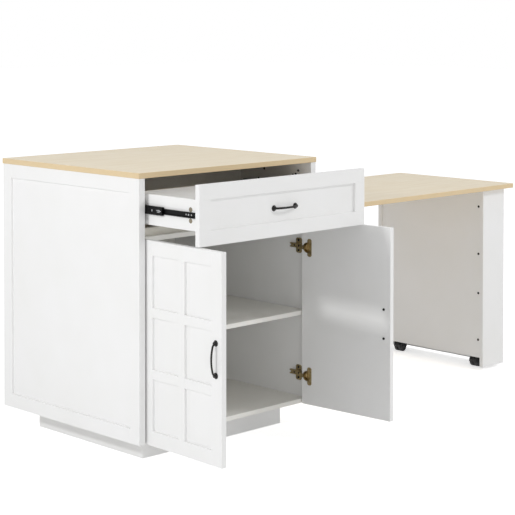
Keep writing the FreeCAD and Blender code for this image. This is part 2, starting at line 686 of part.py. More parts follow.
def cup_wings(z):
    """The plate beside the cup's mouth that is screwed to the door's inner face."""
    corner = cup_centre(z, FRONT_THICKNESS)
    wings = block(corner.x + CUP_WING_START, corner.x + CUP_WING_START + CUP_WING_WIDTH,
                  corner.y, corner.y + CUP_FLANGE, z - CUP_WING_HALF_HEIGHT, z + CUP_WING_HALF_HEIGHT)
    corners = [e for e in wings.Edges if e.BoundBox.YLength > CUP_FLANGE / 2]
    return wings.makeChamfer(CUP_WING_WIDTH / 4, corners)


def hinge_cup(z):
    """The cup with its wings, its two cheeks and the knuckle pin that is fast between them."""
    floor = FRONT_THICKNESS - CUP_DEPTH
    outside = rod(CUP_RADIUS, cup_centre(z, floor), cup_centre(z, FRONT_THICKNESS + CUP_FLANGE))
    inside = rod(CUP_RADIUS - CUP_SHEET, cup_centre(z, floor + CUP_SHEET), cup_centre(z, FRONT_THICKNESS + 2))
    cup = outside.fuse(cup_wings(z)).cut(inside)
    cheek_in = ARM_HALF_WIDTH + KNUCKLE_SIDE_GAP
    reach = cheek_in + CUP_CHEEK
    pin_low = Vector(-PIVOT_X, PIVOT_Y, z - reach)
    knuckle = [rod(HINGE_PIN_RADIUS, pin_low, pin_low.add(Vector(0, 0, 2 * reach)))]
    for hand in (-1, 1):
        knuckle.append(block(-PIVOT_X - CUP_CHEEK_HALF_WIDTH, -PIVOT_X + CUP_CHEEK_HALF_WIDTH,
                             Y_FRONT + floor + CUP_SHEET / 2, PIVOT_Y + CUP_CHEEK_HALF_WIDTH,
                             z + hand * cheek_in, z + hand * reach))
    return cup.fuse(knuckle).removeSplitter()


def arm_strip():
    """The arm's bent outline, from the knuckle out of the cup, round the door's edge and back to the side."""
    half = ARM_SHEET / 2
    pivot_inset = FRONT_GAP + HINGE_PIVOT_INSET
    crank = pivot_inset + ARM_CRANK_OUT
    back = HINGE_PIVOT_DEPTH + ARM_CRANK_BACK
    web = ARM_WEB_HEIGHT
    return [(pivot_inset, HINGE_PIVOT_DEPTH - half), (crank + half, HINGE_PIVOT_DEPTH - half),
            (crank + half, back + half), (web + ARM_SHOULDER, back + half), (web + half, ARM_BODY_START),
            (web + half, ARM_BODY_END), (web - half, ARM_BODY_END), (web - half, ARM_BODY_START - ARM_SHEET),
            (web + ARM_SHOULDER - half, back - half), (crank - half, back - half),
            (crank - half, HINGE_PIVOT_DEPTH + half), (pivot_inset, HINGE_PIVOT_DEPTH + half)]


def hinge_arm(z):
    """A cranked arm: a flat strip with a rolled eye at the knuckle and a channel body over the plate."""
    points = [hinge_point(inset, depth, z - ARM_HALF_WIDTH) for inset, depth in arm_strip()]
    arm = extruded(points, Vector(0, 0, 2 * ARM_HALF_WIDTH))
    eye_radius = HINGE_PIN_RADIUS + KNUCKLE_EYE_WALL
    eye_low = Vector(-PIVOT_X, PIVOT_Y, z - ARM_HALF_WIDTH)
    eye_high = Vector(-PIVOT_X, PIVOT_Y, z + ARM_HALF_WIDTH)
    arm = arm.fuse(rod(eye_radius, eye_low, eye_high))
    web_top = ARM_WEB_HEIGHT + ARM_SHEET / 2
    low = hinge_point(PLATE_THICKNESS, ARM_BODY_START, 0)
    high = hinge_point(web_top, ARM_BODY_END, 0)
    wide = block(low.x, high.x, low.y, high.y, z - ARM_BODY_HALF_WIDTH, z + ARM_BODY_HALF_WIDTH)
    hollow = block(low.x - 1, high.x - ARM_SHEET, low.y - 1, high.y + 1,
                   z - ARM_BODY_HALF_WIDTH + ARM_SHEET, z + ARM_BODY_HALF_WIDTH - ARM_SHEET)
    arm = arm.fuse(wide.cut(hollow))
    fit = Vector(0, 0, 1)
    arm = arm.cut(rod(HINGE_PIN_RADIUS + HINGE_PIN_FIT, eye_low.sub(fit), eye_high.add(fit)))
    slot_y = Y_FRONT + ARM_BODY_END
    notch = block(low.x, high.x + 1, slot_y - ARM_NOTCH, slot_y + 1, z - ARM_NOTCH / 2, z + ARM_NOTCH / 2)
    return arm.cut(notch).removeSplitter()


def hinge_plate(z):
    """A cross-shaped mounting plate on the cabinet side, with a rail that the arm clips over."""
    line = FRONT_THICKNESS + PLATE_SCREW_LINE
    low = hinge_point(0, line - PLATE_WIDTH / 2, 0)
    high = hinge_point(PLATE_THICKNESS, line + PLATE_WIDTH / 2, 0)
    wings = block(low.x, high.x, low.y, high.y, z - PLATE_HALF_HEIGHT, z + PLATE_HALF_HEIGHT)
    corners = [e for e in wings.Edges if e.BoundBox.XLength > PLATE_THICKNESS / 2]
    wings = wings.makeChamfer(PLATE_WIDTH / 6, corners)
    low = hinge_point(0, PLATE_RAIL_START, 0)
    high = hinge_point(PLATE_RAIL_HEIGHT, PLATE_RAIL_END, 0)
    rail = block(low.x, high.x, low.y, high.y, z - PLATE_RAIL_HALF_WIDTH, z + PLATE_RAIL_HALF_WIDTH)
    return wings.fuse(rail).removeSplitter()


def make_door(side, name):
    board, frame = make_door_panel()
    cups = [hinge_cup(z) for z in HINGE_HEIGHTS]
    handle_x = FRONT_GAP - X_INNER + DOOR_WIDTH - DOOR_HANDLE_INSET
    handle = placed([make_handle()], handle_x, Y_FRONT, DOOR_HANDLE_Z, upright=True)
    screws = placed(handle_screws(FRONT_THICKNESS), handle_x, Y_FRONT, DOOR_HANDLE_Z, upright=True)
    return {
        name + "_door_board": opened([board], side),
        name + "_door_frame": opened(frame, side),
        name + "_door_hinge_cups": opened(cups, side),
        name + "_door_handle": opened(handle, side),
        name + "_door_handle_screws": opened(screws, side),
    }


def make_hinges():
    arms = [hinge_arm(z) for z in HINGE_HEIGHTS]
    plates = [hinge_plate(z) for z in HINGE_HEIGHTS]
    return {
        "hinge_mounting_plates": [handed(plate, side) for side in (LEFT, RIGHT) for plate in plates],
        "left_hinge_arms": arms,
        "right_hinge_arms": [mirrored(arm) for arm in arms],
    }


# ------------------------------------------------------------------ table


def caster_plate(y):
    """A square plate under the leg box with the ring that the caster's head runs against."""
    z = CASTER_HEIGHT
    half = CASTER_PLATE_SIDE / 2
    plate = block(X_CASTER - half, X_CASTER + half, y - half, y + half, z - CASTER_PLATE, z)
    plate = plate.makeChamfer(half / 4, [e for e in plate.Edges if e.BoundBox.ZLength > CASTER_PLATE / 2])
    race_low = Vector(X_CASTER, y, z - CASTER_PLATE - RACE_HEIGHT)
    plate = plate.fuse(rod(RACE_RADIUS, race_low, Vector(X_CASTER, y, z - CASTER_PLATE)))
    return plate.cut(rod(STEM_RADIUS + STEM_FIT, race_low.sub(Vector(0, 0, 1)), Vector(X_CASTER, y, z + 1)))


def split_at(board, x):
    """The same board, with its faces divided along the plane at x."""
    box = board.BoundBox
    inside = block(box.XMin, x, box.YMin, box.YMax, box.ZMin, box.ZMax)
    outside = block(x, box.XMax, box.YMin, box.YMax, box.ZMin, box.ZMax)
    return board.common(inside).fuse(board.common(outside))


def make_table_top():
    """The table's board. Its top face is divided where the drawn-out table leaves the cabinet."""
    board = block(X_TABLE_END - TABLE_LENGTH, X_TABLE_END, Y_TABLE_FRONT, Y_TABLE_REAR,
                  Z_TABLE_BOTTOM, Z_TABLE_TOP)
    return split_at(eased_all_round(board, TABLE_EDGE_CHAMFER), X_OUTER + TABLE_EDGE_GAP)


def make_table():
    front = block(X_LEG_INNER, X_LEG_OUTER, Y_LEG_FRONT, Y_LEG_FRONT + LEG_BOARD, LEG_FLOOR_GAP, Z_TABLE_BOTTOM)
    rear = block(X_LEG_INNER, X_LEG_OUTER, Y_LEG_REAR - LEG_BOARD, Y_LEG_REAR, LEG_FLOOR_GAP, Z_TABLE_BOTTOM)
    y0 = Y_LEG_FRONT + LEG_BOARD
    y1 = Y_LEG_REAR - LEG_BOARD
    panel_x = X_LEG_INNER + LEG_PANEL_RECESS
    inner = block(panel_x, panel_x + LEG_BOARD, y0, y1, LEG_INNER_PANEL_BOTTOM, Z_TABLE_BOTTOM)
    outer = block(X_LEG_OUTER - LEG_BOARD, X_LEG_OUTER, y0, y1, LEG_FLOOR_GAP, Z_TABLE_BOTTOM)
    x0 = panel_x + LEG_BOARD
    x1 = X_LEG_OUTER - LEG_BOARD
    bottom = block(x0, x1, y0, y1, CASTER_HEIGHT, CASTER_HEIGHT + LEG_BOARD)
    z_cleat = Z_TABLE_BOTTOM - LEG_CLEAT
    cleats = [block(x0, x0 + LEG_CLEAT, y0, y1, z_cleat, Z_TABLE_BOTTOM),
              block(x1 - LEG_CLEAT, x1, y0, y1, z_cleat, Z_TABLE_BOTTOM)]
    stop_end = X_INNER - STOP_GAP
    stop_inset = GUIDE_LIP_COVER + 2 * TABLE_EDGE_GAP
    stops = []
    for edge, inward in ((Y_TABLE_FRONT, 1), (Y_TABLE_REAR, -1)):
        y0 = edge + inward * stop_inset
        stops.append(block(stop_end - STOP_WIDTH, stop_end, y0, y0 + inward * STOP_LENGTH,
                           Z_TABLE_TOP, Z_TABLE_TOP + STOP_HEIGHT))
    return {
        "table_top": [make_table_top()],
        "leg_front_board": [eased(front, 1, Y_LEG_FRONT)],
        "leg_rear_board": [eased(rear, 1, Y_LEG_REAR)],
        "leg_inner_panel": [inner],
        "leg_outer_panel": [outer],
        "leg_bottom_board": [bottom],
        "leg_top_cleats": cleats,
        "table_stop_blocks": stops,
        "caster_mounting_plates": [caster_plate(y) for y in CASTER_ROWS],
    }


# ------------------------------------------------------------------ casters


def along_axle(radius, y0, y1):
    """A cylinder round the caster's axle, between two distances from its middle."""
    x = X_CASTER - CASTER_TRAIL
    return rod(radius, Vector(x, y0, WHEEL_RADIUS), Vector(x, y1, WHEEL_RADIUS))


def caster_half_width():
    return HOOD_WEB / 2 + WHEEL_SIDE_GAP + WHEEL_WIDTH


def caster_housing(y):
    """The hood over both wheels, its web between them, and the stem it swivels on."""
    half = caster_half_width()
    inside = WHEEL_RADIUS + HOOD_GAP
    outside = inside + HOOD_THICKNESS
    upper = block(X_CASTER - CASTER_TRAIL - outside, X_CASTER - CASTER_TRAIL + outside, -half, half,
                  WHEEL_RADIUS, WHEEL_RADIUS + outside)
    hood = along_axle(outside, -half, half).cut(along_axle(inside, -half - 1, half + 1)).common(upper)
    web = along_axle(outside - HOOD_THICKNESS / 2, -HOOD_WEB / 2, HOOD_WEB / 2).common(upper)
    hub = along_axle(3 * AXLE_RADIUS, -HOOD_WEB / 2, HOOD_WEB / 2)
    head = CASTER_HEIGHT - CASTER_PLATE - RACE_HEIGHT - RACE_GAP
    boss = rod(HOOD_BOSS_RADIUS, Vector(X_CASTER, 0, WHEEL_RADIUS), Vector(X_CASTER, 0, head))
    boss = boss.cut(along_axle(inside, -half, half))
    stem = rod(STEM_RADIUS, Vector(X_CASTER, 0, head - 1), Vector(X_CASTER, 0, CASTER_HEIGHT - RACE_GAP))
    housing = hood.fuse([web, hub, boss, stem])
    housing = housing.cut(along_axle(AXLE_RADIUS + AXLE_FIT, -half, half)).removeSplitter()
    return housing.translated(Vector(0, y, 0))


def caster_wheel(hand):
    """One wheel with a chamfered outer edge and a dished outer face."""
    inner = hand * (HOOD_WEB / 2 + WHEEL_SIDE_GAP)
    outer = hand * caster_half_width()
    wheel = along_axle(WHEEL_RADIUS, inner, outer)
    rim = [e for e in wheel.Edges if abs(e.BoundBox.Center.y - outer) < 1e-6 and e.Length > WHEEL_RADIUS]
    wheel = wheel.makeChamfer(WHEEL_EDGE_CHAMFER, rim)
    return wheel.cut(along_axle(WHEEL_DISH_RADIUS, outer - hand * WHEEL_DISH_DEPTH, outer + hand))


def caster_wheels(y):
    """The two wheels of a caster, fast on one axle."""
    half = caster_half_width() - WHEEL_DISH_DEPTH
    wheels = along_axle(AXLE_RADIUS, -half, half).fuse([caster_wheel(-1), caster_wheel(1)]).removeSplitter()
    return wheels.translated(Vector(0, y, 0))


def make_casters():
    front, rear = CASTER_ROWS
    return {
        "front_caster_housing": [caster_housing(front)],
        "front_caster_wheels": [caster_wheels(front)],
        "rear_caster_housing": [caster_housing(rear)],
        "rear_caster_wheels": [caster_wheels(rear)],
    }


# ------------------------------------------------------------------ assembly


def build():
    nodes = {}
    nodes.update(make_carcass())
    nodes.update(make_plinth())
    nodes.update(make_table_guides())
    nodes.update(make_slides())
    nodes.update(make_hinges())
    nodes.update(make_drawer())
    nodes.update(make_door(LEFT, "left"))
    nodes.update(make_door(RIGHT, "right"))
    nodes.update(make_table())
    nodes.update(make_casters())
    return nodes


os.makedirs("parts", exist_ok=True)
for node, solids in build().items():
    shape = solids[0] if len(solids) == 1 else Part.makeCompound(solids)
    shape.exportStep(os.path.join("parts", node + ".step"))
    print(node, len(shape.Solids), round(shape.Volume), shape.isValid())
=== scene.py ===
"""Looks of a kitchen island: a drawer over two doors, and a dining table that pulls out on a castored leg.

All lengths are in metres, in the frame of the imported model: the floor is z = 0, -Y is towards the doors
and +X is towards the table's free end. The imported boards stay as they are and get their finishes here;
handles, casters, screws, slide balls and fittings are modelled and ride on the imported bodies.
"""

import json
import logging
import math
from collections.abc import Iterator
from contextlib import contextmanager
from dataclasses import dataclass, field
from enum import Enum

import bmesh
import bpy
from mathutils import Matrix, Vector


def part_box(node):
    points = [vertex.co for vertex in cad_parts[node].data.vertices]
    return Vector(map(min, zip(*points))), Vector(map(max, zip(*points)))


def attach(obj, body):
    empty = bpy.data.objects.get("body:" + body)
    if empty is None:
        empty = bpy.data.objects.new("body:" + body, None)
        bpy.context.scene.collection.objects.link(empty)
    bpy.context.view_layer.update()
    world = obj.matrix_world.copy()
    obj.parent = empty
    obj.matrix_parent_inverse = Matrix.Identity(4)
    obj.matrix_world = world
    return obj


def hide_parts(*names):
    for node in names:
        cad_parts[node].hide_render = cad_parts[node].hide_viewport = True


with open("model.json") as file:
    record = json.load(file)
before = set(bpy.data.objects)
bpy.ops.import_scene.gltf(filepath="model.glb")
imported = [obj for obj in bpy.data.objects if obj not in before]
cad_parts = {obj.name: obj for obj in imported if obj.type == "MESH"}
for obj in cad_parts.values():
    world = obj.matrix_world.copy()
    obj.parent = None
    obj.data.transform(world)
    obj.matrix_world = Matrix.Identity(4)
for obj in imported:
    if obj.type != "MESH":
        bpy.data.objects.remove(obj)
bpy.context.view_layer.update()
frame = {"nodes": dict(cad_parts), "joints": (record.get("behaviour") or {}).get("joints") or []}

Tree = bpy.types.NodeTree
Socket = bpy.types.NodeSocket

MM = 0.001
MERGE_DISTANCE = 0.001 * MM
log = logging.getLogger("kitchen_island")


class Side(Enum):
    """Left or right hand of the cabinet, as the sign of X."""

    LEFT = -1
    RIGHT = 1

    @property
    def word(self) -> str:
        """The side as it stands in the names of pieces."""
        return self.name.lower()


class Body(str, Enum):
    """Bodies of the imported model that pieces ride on."""

    CABINET = "cabinet"
    OUTER_CAGES = "slide_outer_cages"
    MIDDLES = "slide_middles"
    INNER_CAGES = "slide_inner_cages"
    DRAWER = "drawer"
    TABLE = "table"


# ---------------------------------------------------------------- shader helpers


def linear(code: str) -> tuple[float, float, float, float]:
    """Turn an sRGB hex colour into the linear colour that shaders take.

    Args:
        code: Six hex digits, with or without a leading #.

    Returns:
        Linear red, green, blue and an alpha of one.
    """
    digits = code.lstrip("#")
    values = [int(digits[i : i + 2], 16) / 255 for i in (0, 2, 4)]
    red, green, blue = (v / 12.92 if v <= 0.04045 else ((v + 0.055) / 1.055) ** 2.4 for v in values)
    return red, green, blue, 1.0


def add_node(tree: Tree, kind: str, inputs: dict | None = None, **settings: object) -> bpy.types.Node:
    """Add a node with its settings, its values and its links.

    Args:
        tree: Node tree that gets the node.
        kind: Blender's type name of the node.
        inputs: Value or source socket for each input, by name or number.
        settings: Properties of the node.

    Returns:
        The new node.
    """
    node = tree.nodes.new(kind)
    for name, value in settings.items():
        setattr(node, name, value)
    for key, value in (inputs or {}).items():
        if isinstance(value, Socket):
            tree.links.new(value, node.inputs[key])
        else:
            node.inputs[key].default_value = value
    return node


# ---------------------------------------------------------------- finishes


@dataclass(frozen=True)
class Finish:
    """A surface: its colour, its gloss and the fine relief that its making leaves.

    relief is the size of the bumps, relief_depth their height, and mottle the size of the soft clouds
    that the gloss and the colour vary over. cloud_span is the part of the clouds' noise that the change
    from one tone to the other takes up.
    """

    name: str
    colour: str
    cloud_colour: str
    roughness: float
    metallic: float = 0.0
    ior: float = 1.5
    coat: float = 0.0
    coat_roughness: float = 0.2
    relief: float = 2 * MM
    relief_depth: float = 0.02 * MM
    mottle: float = 150 * MM
    gloss_range: float = 0.06
    cloud_span: tuple[float, float] = (0.3, 0.7)

    def material(self) -> bpy.types.Material:
        """Return the material, which is made the first time that it is asked for."""
        made = bpy.data.materials.get(self.name)
        if made:
            return made
        material = bpy.data.materials.new(self.name)
        material.use_nodes = True
        tree = material.node_tree
        tree.nodes.clear()
        place = add_node(tree, "ShaderNodeTexCoord").outputs["Object"]
        shader = add_node(
            tree,
            "ShaderNodeBsdfPrincipled",
            {
                "Base Color": self.tone(tree, place),
                "Roughness": self.gloss(tree, place),
                "Normal": self.surface(tree, place),
                "Metallic": self.metallic,
                "IOR": self.ior,
                "Coat Weight": self.coat,
                "Coat Roughness": self.coat_roughness,
            },
        )
        add_node(tree, "ShaderNodeOutputMaterial", {"Surface": shader.outputs["BSDF"]})
        material.diffuse_color = linear(self.colour)
        return material

    def clouds(self, tree: Tree, place: Socket) -> Socket:
        """Return soft clouds from 0 to 1 of the mottle's size."""
        noise = add_node(
            tree, "ShaderNodeTexNoise", {"Vector": place, "Scale": 1 / self.mottle, "Detail": 3.0}
        )
        return noise.outputs["Fac"]

    def tone(self, tree: Tree, place: Socket) -> Socket:
        """Make the colour, which drifts between two near tones.

        Args:
            tree: Node tree of the material.
            place: Object coordinates.

        Returns:
            The colour.
        """
        drift = add_node(tree, "ShaderNodeValToRGB", {"Fac": self.clouds(tree, place)})
        tones = (self.colour, self.cloud_colour)
        for stop, position, tone in zip(drift.color_ramp.elements, self.cloud_span, tones):
            stop.position = position
            stop.color = linear(tone)
        return drift.outputs["Color"]

    def gloss(self, tree: Tree, place: Socket) -> Socket:
        """Make the roughness, uneven as on a handled surface.

        Args:
            tree: Node tree of the material.
            place: Object coordinates.

        Returns:
            The roughness.
        """
        spread = add_node(
            tree,
            "ShaderNodeMapRange",
            {
                "Value": self.clouds(tree, place),
                "From Min": self.cloud_span[0],
                "From Max": self.cloud_span[1],
                "To Min": self.roughness - self.gloss_range / 2,
                "To Max": self.roughness + self.gloss_range / 2,
            },
        )
        return spread.outputs["Result"]

    def surface(self, tree: Tree, place: Socket) -> Socket:
        """Make the finish's own relief.

        Args:
            tree: Node tree of the material.
            place: Object coordinates.

        Returns:
            The normal.
        """
        grain = add_node(
            tree, "ShaderNodeTexNoise", {"Vector": place, "Scale": 1 / self.relief, "Detail": 2.0}
        )
        bump = add_node(
            tree,
            "ShaderNodeBump",
            {"Height": grain.outputs["Fac"], "Distance": self.relief_depth, "Strength": 1.0},
        )
        return bump.outputs["Normal"]


@dataclass(frozen=True)
class WoodFinish(Finish):
    """Wood with its grain along one axis.

    fibre is the width of the fine lines, fibre_length how far they run, and ring the width of the broad
    bands of the growth rings. The spans are the parts of the noise that the rings and the lines take up,
    and the shares are how strongly the lines and the edge's colour cover what is under them. The edges of
    a board may have a colour of their own, below the eased edge of its top face.
    """

    line_colour: str = "D8C49C"
    edge_colour: str | None = None
    top: float = 0.0
    fibre: float = 3 * MM
    fibre_length: float = 160 * MM
    ring: float = 26 * MM
    ring_span: tuple[float, float] = (0.35, 0.65)
    line_span: tuple[float, float] = (0.5, 0.75)
    line_share: float = 0.55
    edge_share: float = 0.75
    eased_edge: float = 0.9 * MM

    def grain(self, tree: Tree, place: Socket, width: float) -> Socket:
        """Make streaks along X that are one width across and many widths long.

        Args:
            tree: Node tree of the material.
            place: Object coordinates.
            width: Width of a streak.

        Returns:
            The streaks, from 0 to 1.
        """
        stretched = add_node(
            tree,
            "ShaderNodeMapping",
            {"Vector": place, "Scale": (1 / self.fibre_length, 1 / width, 1 / width)},
        )
        noise = add_node(
            tree,
            "ShaderNodeTexNoise",
            {
                "Vector": stretched.outputs["Vector"],
                "Scale": 1.0,
                "Detail": 4.0,
                "Roughness": 0.6,
                "Distortion": 0.4,
            },
        )
        return noise.outputs["Fac"]

    def tone(self, tree: Tree, place: Socket) -> Socket:
        """Make the wood's colour: broad rings, fine fibres over them, and the edge band.

        Args:
            tree: Node tree of the material.
            place: Object coordinates.

        Returns:
            The colour.
        """
        rings = add_node(tree, "ShaderNodeValToRGB", {"Fac": self.grain(tree, place, self.ring)})
        tones = (self.cloud_colour, self.colour)
        for stop, position, tone in zip(rings.color_ramp.elements, self.ring_span, tones):
            stop.position = position
            stop.color = linear(tone)
        share = add_node(
            tree,
            "ShaderNodeMapRange",
            {
                "Value": self.grain(tree, place, self.fibre),
                "From Min": self.line_span[0],
                "From Max": self.line_span[1],
                "To Max": self.line_share,
            },
        )
        lines = self.mixed(tree, share.outputs["Result"], rings.outputs["Color"], self.line_colour)
        if self.edge_colour is None:
            return lines
        height = add_node(tree, "ShaderNodeSeparateXYZ", {"Vector": place}).outputs["Z"]
        below = add_node(
            tree, "ShaderNodeMath", {0: height, 1: self.top - self.eased_edge}, operation="LESS_THAN"
        )
        partly = add_node(
            tree, "ShaderNodeMath", {0: below.outputs["Value"], 1: self.edge_share}, operation="MULTIPLY"
        )
        return self.mixed(tree, partly.outputs["Value"], lines, self.edge_colour)

    def mixed(self, tree: Tree, share: Socket, under: Socket, over: str) -> Socket:
        """Lay a share of another colour over a colour.

        Args:
            tree: Node tree of the material.
            share: How much of the upper colour covers the lower one.
            under: The lower colour.
            over: The upper colour, in hex.

        Returns:
            The mixed colour.
        """
        mix = add_node(tree, "ShaderNodeMix", data_type="RGBA")
        colour_inputs = [socket for socket in mix.inputs if socket.type == "RGBA"]
        tree.links.new(share, mix.inputs[0])
        tree.links.new(under, colour_inputs[0])
        colour_inputs[1].default_value = linear(over)
        return next(socket for socket in mix.outputs if socket.type == "RGBA")

    def surface(self, tree: Tree, place: Socket) -> Socket:
        """Return the normal with open pores along the fibres."""
        bump = add_node(
            tree,
            "ShaderNodeBump",
            {"Height": self.grain(tree, place, self.fibre), "Distance": self.relief_depth, "Strength": 1.0},
        )
        return bump.outputs["Normal"]


@dataclass(frozen=True)
class Finishes:
    """Every finish of the island."""

    # Medium density fibreboard, sprayed and rubbed satin: near white, soft gloss, faint orange peel.
    # The peel is about 1.5 mm on the real one and is drawn at 5 mm so that it shows.
    paint: Finish = Finish(
        "satin_painted_fibreboard", "F5F5F5", "F3F3F2", 0.42, relief=5 * MM, relief_depth=0.03 * MM
    )
    # Particle board with a melamine face pressed to a fine pearl, flatter than paint. Its white is a little
    # warmer than the paint's: painted shade, the warm tone of the shade inside the cabinet.
    # The pearl is about 1 mm on the real one and is drawn at 3 mm so that it shows.
    melamine: Finish = Finish(
        "pearl_melamine_board", "F7F6F1", "F4F2EC", 0.5, relief=3 * MM, relief_depth=0.03 * MM
    )
    # Steel strip, rolled and coated black: dark, half gloss, slight clouds in the coat.
    slide: Finish = Finish(
        "black_coated_steel_strip", "070707", "0B0B0C", 0.46, ior=1.24, mottle=30 * MM, relief=1.5 * MM
    )
    # Zinc plate on steel, bright: clean metal with a cold tint.
    zinc: Finish = Finish(
        "bright_zinc_plate", "C4C6C8", "AEB1B4", 0.3, metallic=1.0, mottle=12 * MM, relief=1 * MM
    )
    # Antique nickel on pressed steel, tumbled: warm brownish metal, darker and duller in patches.
    nickel: Finish = Finish(
        "antique_nickel_plate", "C9B68F", "93835F", 0.36, metallic=1.0, mottle=9 * MM, relief=1 * MM,
        gloss_range=0.14,
    )
    # Zinc alloy with black powder coat: deep black, satin, grainy; the grain is drawn at 1 mm.
    powder: Finish = Finish(
        "black_powder_coat", "0B0A09", "13100E", 0.36, ior=1.36, mottle=20 * MM, relief=1 * MM,
        relief_depth=0.04 * MM,
    )
    # Nylon, injection moulded: black, matt, with the fine spark-eroded texture of its mould.
    nylon: Finish = Finish(
        "moulded_black_nylon", "161617", "1E1E1F", 0.52, mottle=15 * MM, relief=0.8 * MM,
        relief_depth=0.05 * MM,
    )
    # Steel, near black and dull, on cam fittings and screws: the black is painted shade, so that they read as
    # dark holes.
    recess: Finish = Finish("blackened_steel", "0B0A09", "100F0D", 0.6, mottle=5 * MM, relief=1 * MM)
    # ABS plastic, injection moulded in grey-brown: even colour, half matt.
    cover: Finish = Finish("grey_brown_abs", "8F8672", "867D69", 0.5, ior=1.54, mottle=6 * MM, relief=1 * MM)
    # Poplar, planed, without lacquer: pale greyish cream, plain lines. Its fibres are drawn at 3 mm too.
    poplar: WoodFinish = WoodFinish(
        "planed_poplar", "EBE8DF", "E4E0D5", 0.62, line_colour="D8D2C4", ring=18 * MM, relief_depth=0.06 * MM
    )

    def top(self, name: str, height: float, ring: float) -> WoodFinish:
        """Return the pale lacquered wood of a top board whose upper face is at a height.

        The fibres are under 1 mm on the real one and are drawn at 3 mm so that they show. The edge is
        banded in a tone that is a little deeper than the face.

        Args:
            name: Name of the material.
            height: Height of the upper face above the floor.
            ring: Width of the growth rings' bands.

        Returns:
            The finish.
        """
        return WoodFinish(
            name, "F1E4C9", "ECDDBF", 0.46, line_colour="E2CDA6", edge_colour="DCC193", top=height, ring=ring,
            relief_depth=0.02 * MM, coat=0.06,
        )


FINISHES = Finishes()


# ---------------------------------------------------------------- mesh helpers


@dataclass
class Piece:
    """A piece that is made of closed shells, each modelled at the origin and then placed."""

    name: str
    finish: Finish
    body: str
    slot: str
    mesh: bmesh.types.BMesh = field(default_factory=bmesh.new)

    @contextmanager
    def shell(self, place: Matrix) -> Iterator[bmesh.types.BMesh]:
        """Give an empty bmesh for one shell, and take it over, closed and placed.

        Args:
            place: Where the shell goes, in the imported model's frame.

        Yields:
            The bmesh that the shell is modelled in.
        """
        shell = bmesh.new()
        yield shell
        bmesh.ops.remove_doubles(shell, verts=shell.verts, dist=MERGE_DISTANCE)
        shell.transform(place)
        bmesh.ops.recalc_face_normals(shell, faces=shell.faces)
        carrier = bpy.data.meshes.new("shell")
        shell.to_mesh(carrier)
        shell.free()
        self.mesh.from_mesh(carrier)
        bpy.data.meshes.remove(carrier)

    def finished(self, crease: float = 38.0) -> bpy.types.Object:
        """Make the object: smooth up to a crease angle, dressed, and riding on its body.

        Args:
            crease: Angle between faces, in degrees, above which an edge stays sharp.

        Returns:
            The object, whose place is in its mesh.
        """
        data = bpy.data.meshes.new(self.name)
        self.mesh.to_mesh(data)
        self.mesh.free()
        data.shade_smooth()
        data.set_sharp_from_angle(angle=math.radians(crease))
        data.materials.append(self.finish.material())
        piece = bpy.data.objects.new(self.name, data)
        bpy.context.scene.collection.objects.link(piece)
        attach(piece, self.body)
        log.info("%s rides on %s: %d faces", self.name, self.body, len(data.polygons))
        return piece


def turned(shell: bmesh.types.BMesh, profile: list[tuple[float, float]], steps: int = 24) -> None:
    """Turn a profile round Z into a closed solid.

    Args:
        shell: Mesh that gets the solid.
        profile: Radius and height of each corner, from one pole to the other.
        steps: Number of segments in the full turn.
    """
    corners = [shell.verts.new((radius, 0, height)) for radius, height in profile]
    edges = [shell.edges.new(pair) for pair in zip(corners, corners[1:])]
    bmesh.ops.spin(
        shell, geom=corners + edges, cent=(0, 0, 0), axis=(0, 0, 1), dvec=(0, 0, 0), angle=math.tau,
        steps=steps, use_merge=True, use_duplicate=False,
    )
    bmesh.ops.remove_doubles(shell, verts=shell.verts, dist=MERGE_DISTANCE)


def boxed(shell: bmesh.types.BMesh, low: Vector, high: Vector, bevel: float) -> None:
    """Make a box between two corners with rounded edges.

    Args:
        shell: Mesh that gets the box.
        low: Lowest corner.
        high: Highest corner.
        bevel: Radius of the edges.
    """
    place = Matrix.Translation((low + high) / 2) @ Matrix.Diagonal((*(high - low), 1))
    bmesh.ops.create_cube(shell, size=1.0, matrix=place)
    rounded(shell, shell.edges[:], bevel)


def rounded(shell: bmesh.types.BMesh, edges: list, radius: float, segments: int = 2) -> None:
    """Round some edges of a shell.

    Args:
        shell: Mesh that has the edges.
        edges: The edges.
        radius: Radius of the rounding.
        segments: Number of faces across it.
    """
    bmesh.ops.bevel(
        shell, geom=edges, offset=radius, offset_type="OFFSET", affect="EDGES", segments=segments,
        profile=0.5, material=-1,
    )


def facing(place: Vector, normal: Vector, up: Vector = Vector((0, 0, 1))) -> Matrix:
    """Turn a shell to face away from a surface.

    Args:
        place: Where the shell's origin goes.
        normal: Direction that its Z takes.
        up: Direction that its Y takes.

    Returns:
        The shell's matrix.
    """
    z = normal.normalized()
    x = up.cross(z).normalized()
    y = z.cross(x)
    turn = Matrix((x, y, z)).transposed().to_4x4()
    return Matrix.Translation(place) @ turn


